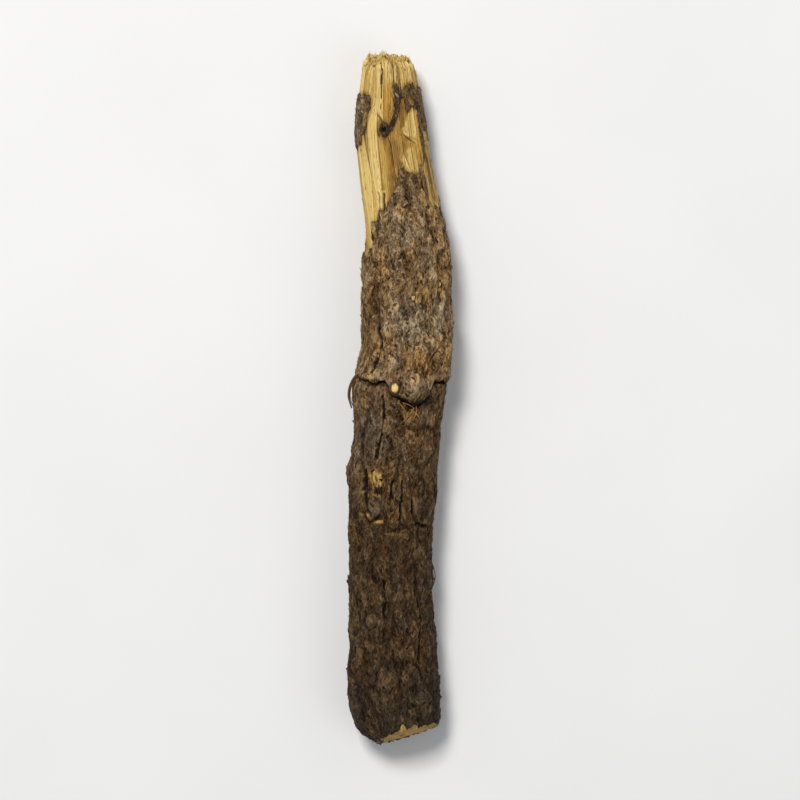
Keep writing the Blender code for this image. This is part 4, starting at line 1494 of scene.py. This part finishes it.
def wood_material():
    material, tree, shader = new_material("bare_wood", 0.7)
    lines = grain_noise(tree, 0.30 * MM, 26.0, 5.0, 0.7)
    threads = grain_noise(tree, 0.16 * MM, 18.0, 3.0, 0.7)
    fine = math_node(tree, "SUBTRACT", weighted(tree, (lines, 0.8), (threads, 0.5)), 0.65)
    height = math_node(tree, "ADD", attribute(tree, "grain"), fine)
    strip = centred(tree, attribute(tree, "strip"), 0.35)
    level = math_node(tree, "ADD", height, strip, clamp=True)
    # The colour level follows the grain's relief: painted highlight on raised fibres, painted shade in
    # grooves, with each strip's own value
    straw = ramp(
        tree, level,
        (0.0, (0.24, 0.120, 0.022)), (0.3, (0.50, 0.310, 0.080)), (0.6, (0.66, 0.445, 0.135)),
        (1.0, (0.80, 0.60, 0.24)),
    )
    # Darker golden wood, partly painted shade on the side away from the light
    gold_and_shade = ramp(
        tree, level,
        (0.0, (0.13, 0.052, 0.006)), (0.35, (0.36, 0.180, 0.028)), (0.7, (0.53, 0.305, 0.058)),
        (1.0, (0.70, 0.46, 0.120)),
    )
    cream = ramp(
        tree, level,
        (0.0, (0.35, 0.195, 0.040)), (0.35, (0.62, 0.410, 0.108)), (1.0, (0.87, 0.66, 0.27)),
    )
    brown = ramp(
        tree, level,
        (0.0, (0.045, 0.022, 0.006)), (0.5, (0.19, 0.100, 0.024)), (1.0, (0.42, 0.26, 0.07)),
    )
    colour = mixed(tree, attribute(tree, "gold_and_shade"), straw, gold_and_shade)
    colour = mixed(tree, attribute(tree, "pale"), colour, cream)
    colour = mixed(tree, attribute(tree, "stain_and_shade"), colour, brown)
    pores = soft_range(tree, grain_noise(tree, 0.42 * MM, 3.5, 2.0, 0.6), 0.60, 0.72, 0.0, 0.6)
    colour = mixed(tree, pores, colour, (0.15, 0.075, 0.018))
    # Painted shade in cracks, splits, slots, pits and the knot's hole, and in the low places of the
    # broken face
    colour = mixed(tree, attribute(tree, "dark"), colour, (0.022, 0.012, 0.005))
    tree.links.new(colour, shader.inputs["Base Color"])
    bump(tree, shader, height, 0.12 * MM)
    return material


def sawn_material():
    material, tree, shader = new_material("sawn_wood", 0.7)
    specks = grain_noise(tree, 0.30 * MM, 1.0, 4.0, 0.75)
    blots = grain_noise(tree, 2.2 * MM, 1.0, 3.0, 0.6)
    level = weighted(tree, (attribute(tree, "ray"), 0.6), (specks, 1.3), (blots, 0.9))
    level = math_node(tree, "SUBTRACT", level, 0.95, clamp=True)
    wood = ramp(
        tree, level,
        (0.0, (0.22, 0.12, 0.030)), (0.35, (0.44, 0.280, 0.078)), (0.65, (0.60, 0.420, 0.140)),
        (1.0, (0.78, 0.60, 0.27)),
    )
    rings = ramp(
        tree, attribute(tree, "share"),
        (0.0, (0.95, 0.90, 0.72)), (0.07, (1.0, 0.95, 0.80)), (0.1, (0.45, 0.36, 0.25)),
        (0.16, (0.95, 0.92, 0.88)), (0.78, (0.84, 0.79, 0.70)), (0.9, (0.74, 0.62, 0.46)),
        (0.95, (0.50, 0.36, 0.22)), (0.975, (1.0, 0.96, 0.88)), (1.0, (1.05, 1.0, 0.86)),
    )
    colour = mixed(tree, 1.0, wood, rings, "MULTIPLY")
    # Painted shade in the cracks of the saw cut
    colour = mixed(tree, attribute(tree, "crack"), colour, (0.035, 0.018, 0.007))
    tree.links.new(colour, shader.inputs["Base Color"])
    bump(tree, shader, level, 0.12 * MM)
    return material


def plain_wood_material(name, dark, light, size, stretch):
    """Wood or bark whose colour comes from noise alone, for the small pieces."""
    material, tree, shader = new_material(name, 0.75)
    spread = centred(tree, grain_noise(tree, size, stretch, 4.0, 0.7), 2.2)
    level = math_node(tree, "ADD", spread, 0.5, clamp=True)
    tree.links.new(ramp(tree, level, (0.0, dark), (1.0, light)), shader.inputs["Base Color"])
    bump(tree, shader, level, 0.1 * MM)
    return material


def floor_material():
    material, tree, shader = new_material("pale_floor", 0.9, 0.1)
    level = grain_noise(tree, 60 * MM, 1.0, 2.0, 0.5)
    pale = ramp(tree, level, (0.3, (0.87, 0.87, 0.87)), (0.7, (0.90, 0.90, 0.90)))
    tree.links.new(pale, shader.inputs["Base Color"])
    return material


# Scattered pieces

SOCKET_KINDS = {
    "Surface": "NodeSocketGeometry",
    "Piece": "NodeSocketObject",
    "Seed": "NodeSocketInt",
}


def chip_mesh(name, width, length, thickness, bend):
    """A thin closed chip, bent up at one end."""
    form = bmesh.new()
    bmesh.ops.create_uvsphere(form, u_segments=7, v_segments=4, radius=1)
    draw = np.random.default_rng(CHIP_SEED)
    for corner in form.verts:
        x, y, z = corner.co
        rough = 1 + 0.3 * draw.uniform(-1, 1)
        bent = z * thickness + bend * y * abs(y) + bend * 0.4 * x * x
        corner.co = (x * width * rough, y * length * rough, bent)
    mesh = bpy.data.meshes.new(name)
    form.to_mesh(mesh)
    form.free()
    mesh.shade_smooth()
    return mesh


def thread_mesh(name, radius, length, lift):
    """A thin closed thread, both ends pointed and one end lifted."""
    turn = ring_turns(THREAD_SIDES)
    rings = []
    for step in np.linspace(-1, 1, THREAD_RINGS):
        width = radius * (1.05 - abs(step) ** 2)
        aside = 0.12 * length * math.sin(2.1 * step)
        middle = np.array([aside, step * length, lift * max(step, 0) ** 2])
        ring = np.column_stack([np.sin(turn) * width, np.zeros(THREAD_SIDES), np.cos(turn) * width])
        rings.append(middle + ring)
    return mesh_of(name, [closed_skin(np.array(rings))])


def scatter_tree(name, material):
    """Copies of a small piece over a surface, lying along the root with a random turn and size."""
    tree = bpy.data.node_groups.new(name, "GeometryNodeTree")
    for label in ("Surface", "Piece", "Density", "Smallest", "Largest", "Turn", "Tilt", "Seed"):
        kind = SOCKET_KINDS.get(label, "NodeSocketFloat")
        tree.interface.new_socket(label, in_out="INPUT", socket_type=kind)
    tree.interface.new_socket("Pieces", in_out="OUTPUT", socket_type="NodeSocketGeometry")
    given = tree.nodes.new("NodeGroupInput").outputs

    cover = add(tree, "GeometryNodeInputNamedAttribute", {"Name": "cover"}, data_type="FLOAT")
    density = math_node(tree, "MULTIPLY", given["Density"], cover.outputs["Attribute"])
    values = {"Mesh": given["Surface"], "Density": density, "Seed": given["Seed"]}
    spread = add(tree, "GeometryNodeDistributePointsOnFaces", values)
    stand = add(
        tree, "FunctionNodeAlignRotationToVector", {"Vector": spread.outputs["Normal"]}, axis="Z"
    )
    lie = add(
        tree, "FunctionNodeAlignRotationToVector",
        {"Rotation": stand.outputs[0], "Vector": (0, 1, 0)}, axis="Y", pivot_axis="Z",
    )
    turn, tilt = given["Turn"], given["Tilt"]
    most = add(tree, "ShaderNodeCombineXYZ", {"X": tilt, "Y": tilt, "Z": turn}).outputs[0]
    least = add(tree, "ShaderNodeVectorMath", {0: most, "Scale": -1}, operation="SCALE").outputs[0]
    swing = add(
        tree, "FunctionNodeRandomValue", {0: least, 1: most, "Seed": given["Seed"]},
        data_type="FLOAT_VECTOR",
    )
    swung = add(tree, "FunctionNodeEulerToRotation", {0: swing.outputs[0]})
    values = {"Rotation": lie.outputs[0], "Rotate By": swung.outputs[0]}
    turned = add(tree, "FunctionNodeRotateRotation", values, rotation_space="LOCAL")
    values = {2: given["Smallest"], 3: given["Largest"], "Seed": given["Seed"]}
    size = add(tree, "FunctionNodeRandomValue", values, data_type="FLOAT")
    piece = add(tree, "GeometryNodeObjectInfo", {"Object": given["Piece"]})
    values = {
        "Points": spread.outputs["Points"],
        "Instance": piece.outputs["Geometry"],
        "Rotation": turned.outputs[0],
        "Scale": size.outputs[1],
    }
    copies = add(tree, "GeometryNodeInstanceOnPoints", values)
    own = add(tree, "FunctionNodeRandomValue", {2: 0.0, 3: 1.0, "Seed": 7}, data_type="FLOAT")
    values = {"Geometry": copies.outputs[0], "Name": "tone", "Value": own.outputs[1]}
    toned = add(tree, "GeometryNodeStoreNamedAttribute", values, data_type="FLOAT", domain="INSTANCE")
    real = add(tree, "GeometryNodeRealizeInstances", {"Geometry": toned.outputs[0]})
    painted = add(tree, "GeometryNodeSetMaterial", {"Geometry": real.outputs[0], "Material": material})
    out = tree.nodes.new("NodeGroupOutput")
    tree.links.new(painted.outputs[0], out.inputs[0])
    return tree


def scattered(name, surfaces, chip, material, **amounts):
    """A plain mesh of copies of chip over some surfaces, with the amounts set on the tree's inputs."""
    carriers = []
    source = bpy.data.objects.new(name + "_source", chip)
    looks.objects.link(source)
    tree = scatter_tree(name, material)
    sockets = {item.name: item.identifier for item in tree.interface.items_tree}
    form = bmesh.new()
    for surface in surfaces:
        carrier = bpy.data.objects.new(name + "_carrier", surface.copy())
        looks.objects.link(carrier)
        scatter = carrier.modifiers.new(name, "NODES")
        scatter.node_group = tree
        scatter[sockets["Piece"]] = source
        for label, amount in amounts.items():
            scatter[sockets[label]] = amount
        carriers.append(carrier)
    bpy.context.view_layer.update()
    graph = bpy.context.evaluated_depsgraph_get()
    for carrier in carriers:
        made = bpy.data.meshes.new_from_object(carrier.evaluated_get(graph))
        form.from_mesh(made)
        carrier.modifiers.clear()
        bpy.data.objects.remove(carrier, do_unlink=True)
    bpy.data.objects.remove(source, do_unlink=True)
    mesh = bpy.data.meshes.new(name)
    form.to_mesh(mesh)
    form.free()
    mesh.shade_smooth()
    return mesh


def toned_material(name, *stops, on_bark=False):
    """Each scattered piece has its own tone, broken up by a fine noise."""
    material, tree, shader = new_material(name, 0.8)
    fine = centred(tree, grain_noise(tree, 0.4 * MM, 3.0, 3.0, 0.6), 0.9)
    level = math_node(tree, "ADD", attribute(tree, "tone"), fine, clamp=True)
    colour = ramp(tree, level, *stops)
    if on_bark:
        # Darker below the ring crack: partly the bark's own colour, partly painted shade
        colour = dark_bark_and_painted_shade_below_ring(tree, colour)
    tree.links.new(colour, shader.inputs["Base Color"])
    bump(tree, shader, level, 0.06 * MM)
    return material


# Stage

def floor():
    bpy.ops.mesh.primitive_plane_add(size=12)
    plane = bpy.context.active_object
    plane.name = "floor"
    plane.data.materials.append(floor_material())


def area_light(name, place, size, power, colour):
    """A square lamp that shines at the middle of the root."""
    lamp = bpy.data.lights.new(name, "AREA")
    lamp.size = size
    lamp.energy = power
    lamp.color = colour
    holder = bpy.data.objects.new(name, lamp)
    holder.location = place
    direction = -holder.location.normalized()
    holder.rotation_euler = direction.to_track_quat("-Z", "Y").to_euler()
    holder.visible_camera = False
    bpy.context.scene.collection.objects.link(holder)


def lights_and_camera():
    for lamp in LAMPS:
        area_light(*lamp)
    world = bpy.data.worlds.new("soft_room")
    world.use_nodes = True
    shade = world.node_tree.nodes["Background"]
    shade.inputs["Color"].default_value = ROOM_COLOUR
    shade.inputs["Strength"].default_value = ROOM_LIGHT
    bpy.context.scene.world = world
    bpy.context.scene.view_settings.view_transform = "Standard"

    low, high = cad_box
    camera = bpy.data.cameras.new("camera")
    camera.sensor_width = 36
    seen = (high.y - low.y) / SHARE_OF_PICTURE
    camera.lens = camera.sensor_width * CAMERA_ABOVE / seen
    holder = bpy.data.objects.new("camera", camera)
    holder.location = ((low.x + high.x) / 2, (low.y + high.y) / 2, CAMERA_ABOVE + high.z / 2)
    bpy.context.scene.collection.objects.link(holder)
    bpy.context.scene.camera = holder


looks = bpy.data.collections.new("licorice_root_looks")
bpy.context.scene.collection.children.link(looks)

lights_and_camera()
floor()

bark = bark_material()
below_mesh = bark_below_ring()
above_mesh = bark_above_ring()
wood_mesh = bare_wood()
new_piece("bark_below_ring", below_mesh, bark)
new_piece("bark_above_ring", above_mesh, bark)
new_piece("bare_wood", wood_mesh, wood_material())
sawn_mesh = sawn_end()
new_piece("sawn_end", sawn_mesh, sawn_material())

dull_bark = plain_wood_material(
    "stub_bark", (0.03, 0.018, 0.009), (0.21, 0.13, 0.07), 0.7 * MM, 1.5
)
cream_wood = toned_material(
    "cut_side_root",
    (0.0, (0.035, 0.020, 0.009)), (0.35, (0.14, 0.085, 0.036)), (0.65, (0.36, 0.235, 0.085)),
    (1.0, (0.88, 0.64, 0.25)),
)
orange = plain_wood_material(
    "orange_fibre", (0.17, 0.080, 0.018), (0.52, 0.30, 0.085), 0.5 * MM, 5.0
)
stub_bark, stub_wood = stub_meshes()
new_piece("stub_bark", stub_bark, dull_bark)
new_piece("stub_wood", stub_wood, cream_wood)
new_piece("bark_curls", curl_mesh(), dull_bark)
new_piece("fibre_fan", fan_mesh(), orange)

flake_paint = toned_material(
    "bark_flake",
    (0.0, (0.030, 0.017, 0.008)), (0.45, (0.13, 0.075, 0.033)), (0.75, (0.26, 0.145, 0.055)),
    (0.92, (0.29, 0.19, 0.10)), (1.0, (0.38, 0.28, 0.17)),
    on_bark=True,
)
flakes = scattered(
    "bark_flakes", (below_mesh, above_mesh),
    chip_mesh("flake", 0.34 * MM, 0.70 * MM, 0.08 * MM, 0.10 * MM), flake_paint,
    Density=380000.0, Smallest=0.4, Largest=1.3, Turn=1.1, Tilt=0.22, Seed=5,
)
new_piece("bark_flakes", flakes, flake_paint)

thread_paint = toned_material(
    "loose_fibre",
    (0.0, (0.16, 0.085, 0.022)), (0.4, (0.42, 0.26, 0.075)), (1.0, (0.80, 0.62, 0.28)),
)
threads = scattered(
    "loose_fibres", (wood_mesh, sawn_mesh),
    thread_mesh("thread", 0.055 * MM, 0.9 * MM, 0.35 * MM), thread_paint,
    Density=900000.0, Smallest=0.5, Largest=1.5, Turn=0.45, Tilt=0.22, Seed=12,
)
new_piece("loose_fibres", threads, thread_paint)

hair_paint = toned_material(
    "bark_fibre",
    (0.0, (0.09, 0.052, 0.024)), (0.4, (0.22, 0.145, 0.075)), (0.8, (0.40, 0.29, 0.17)),
    (1.0, (0.56, 0.46, 0.32)),
    on_bark=True,
)
hairs = scattered(
    "bark_fibres", (below_mesh, above_mesh),
    thread_mesh("hair", 0.05 * MM, 1.1 * MM, 0.22 * MM), hair_paint,
    Density=190000.0, Smallest=0.5, Largest=1.4, Turn=0.8, Tilt=0.12, Seed=21,
)
new_piece("bark_fibres", hairs, hair_paint)
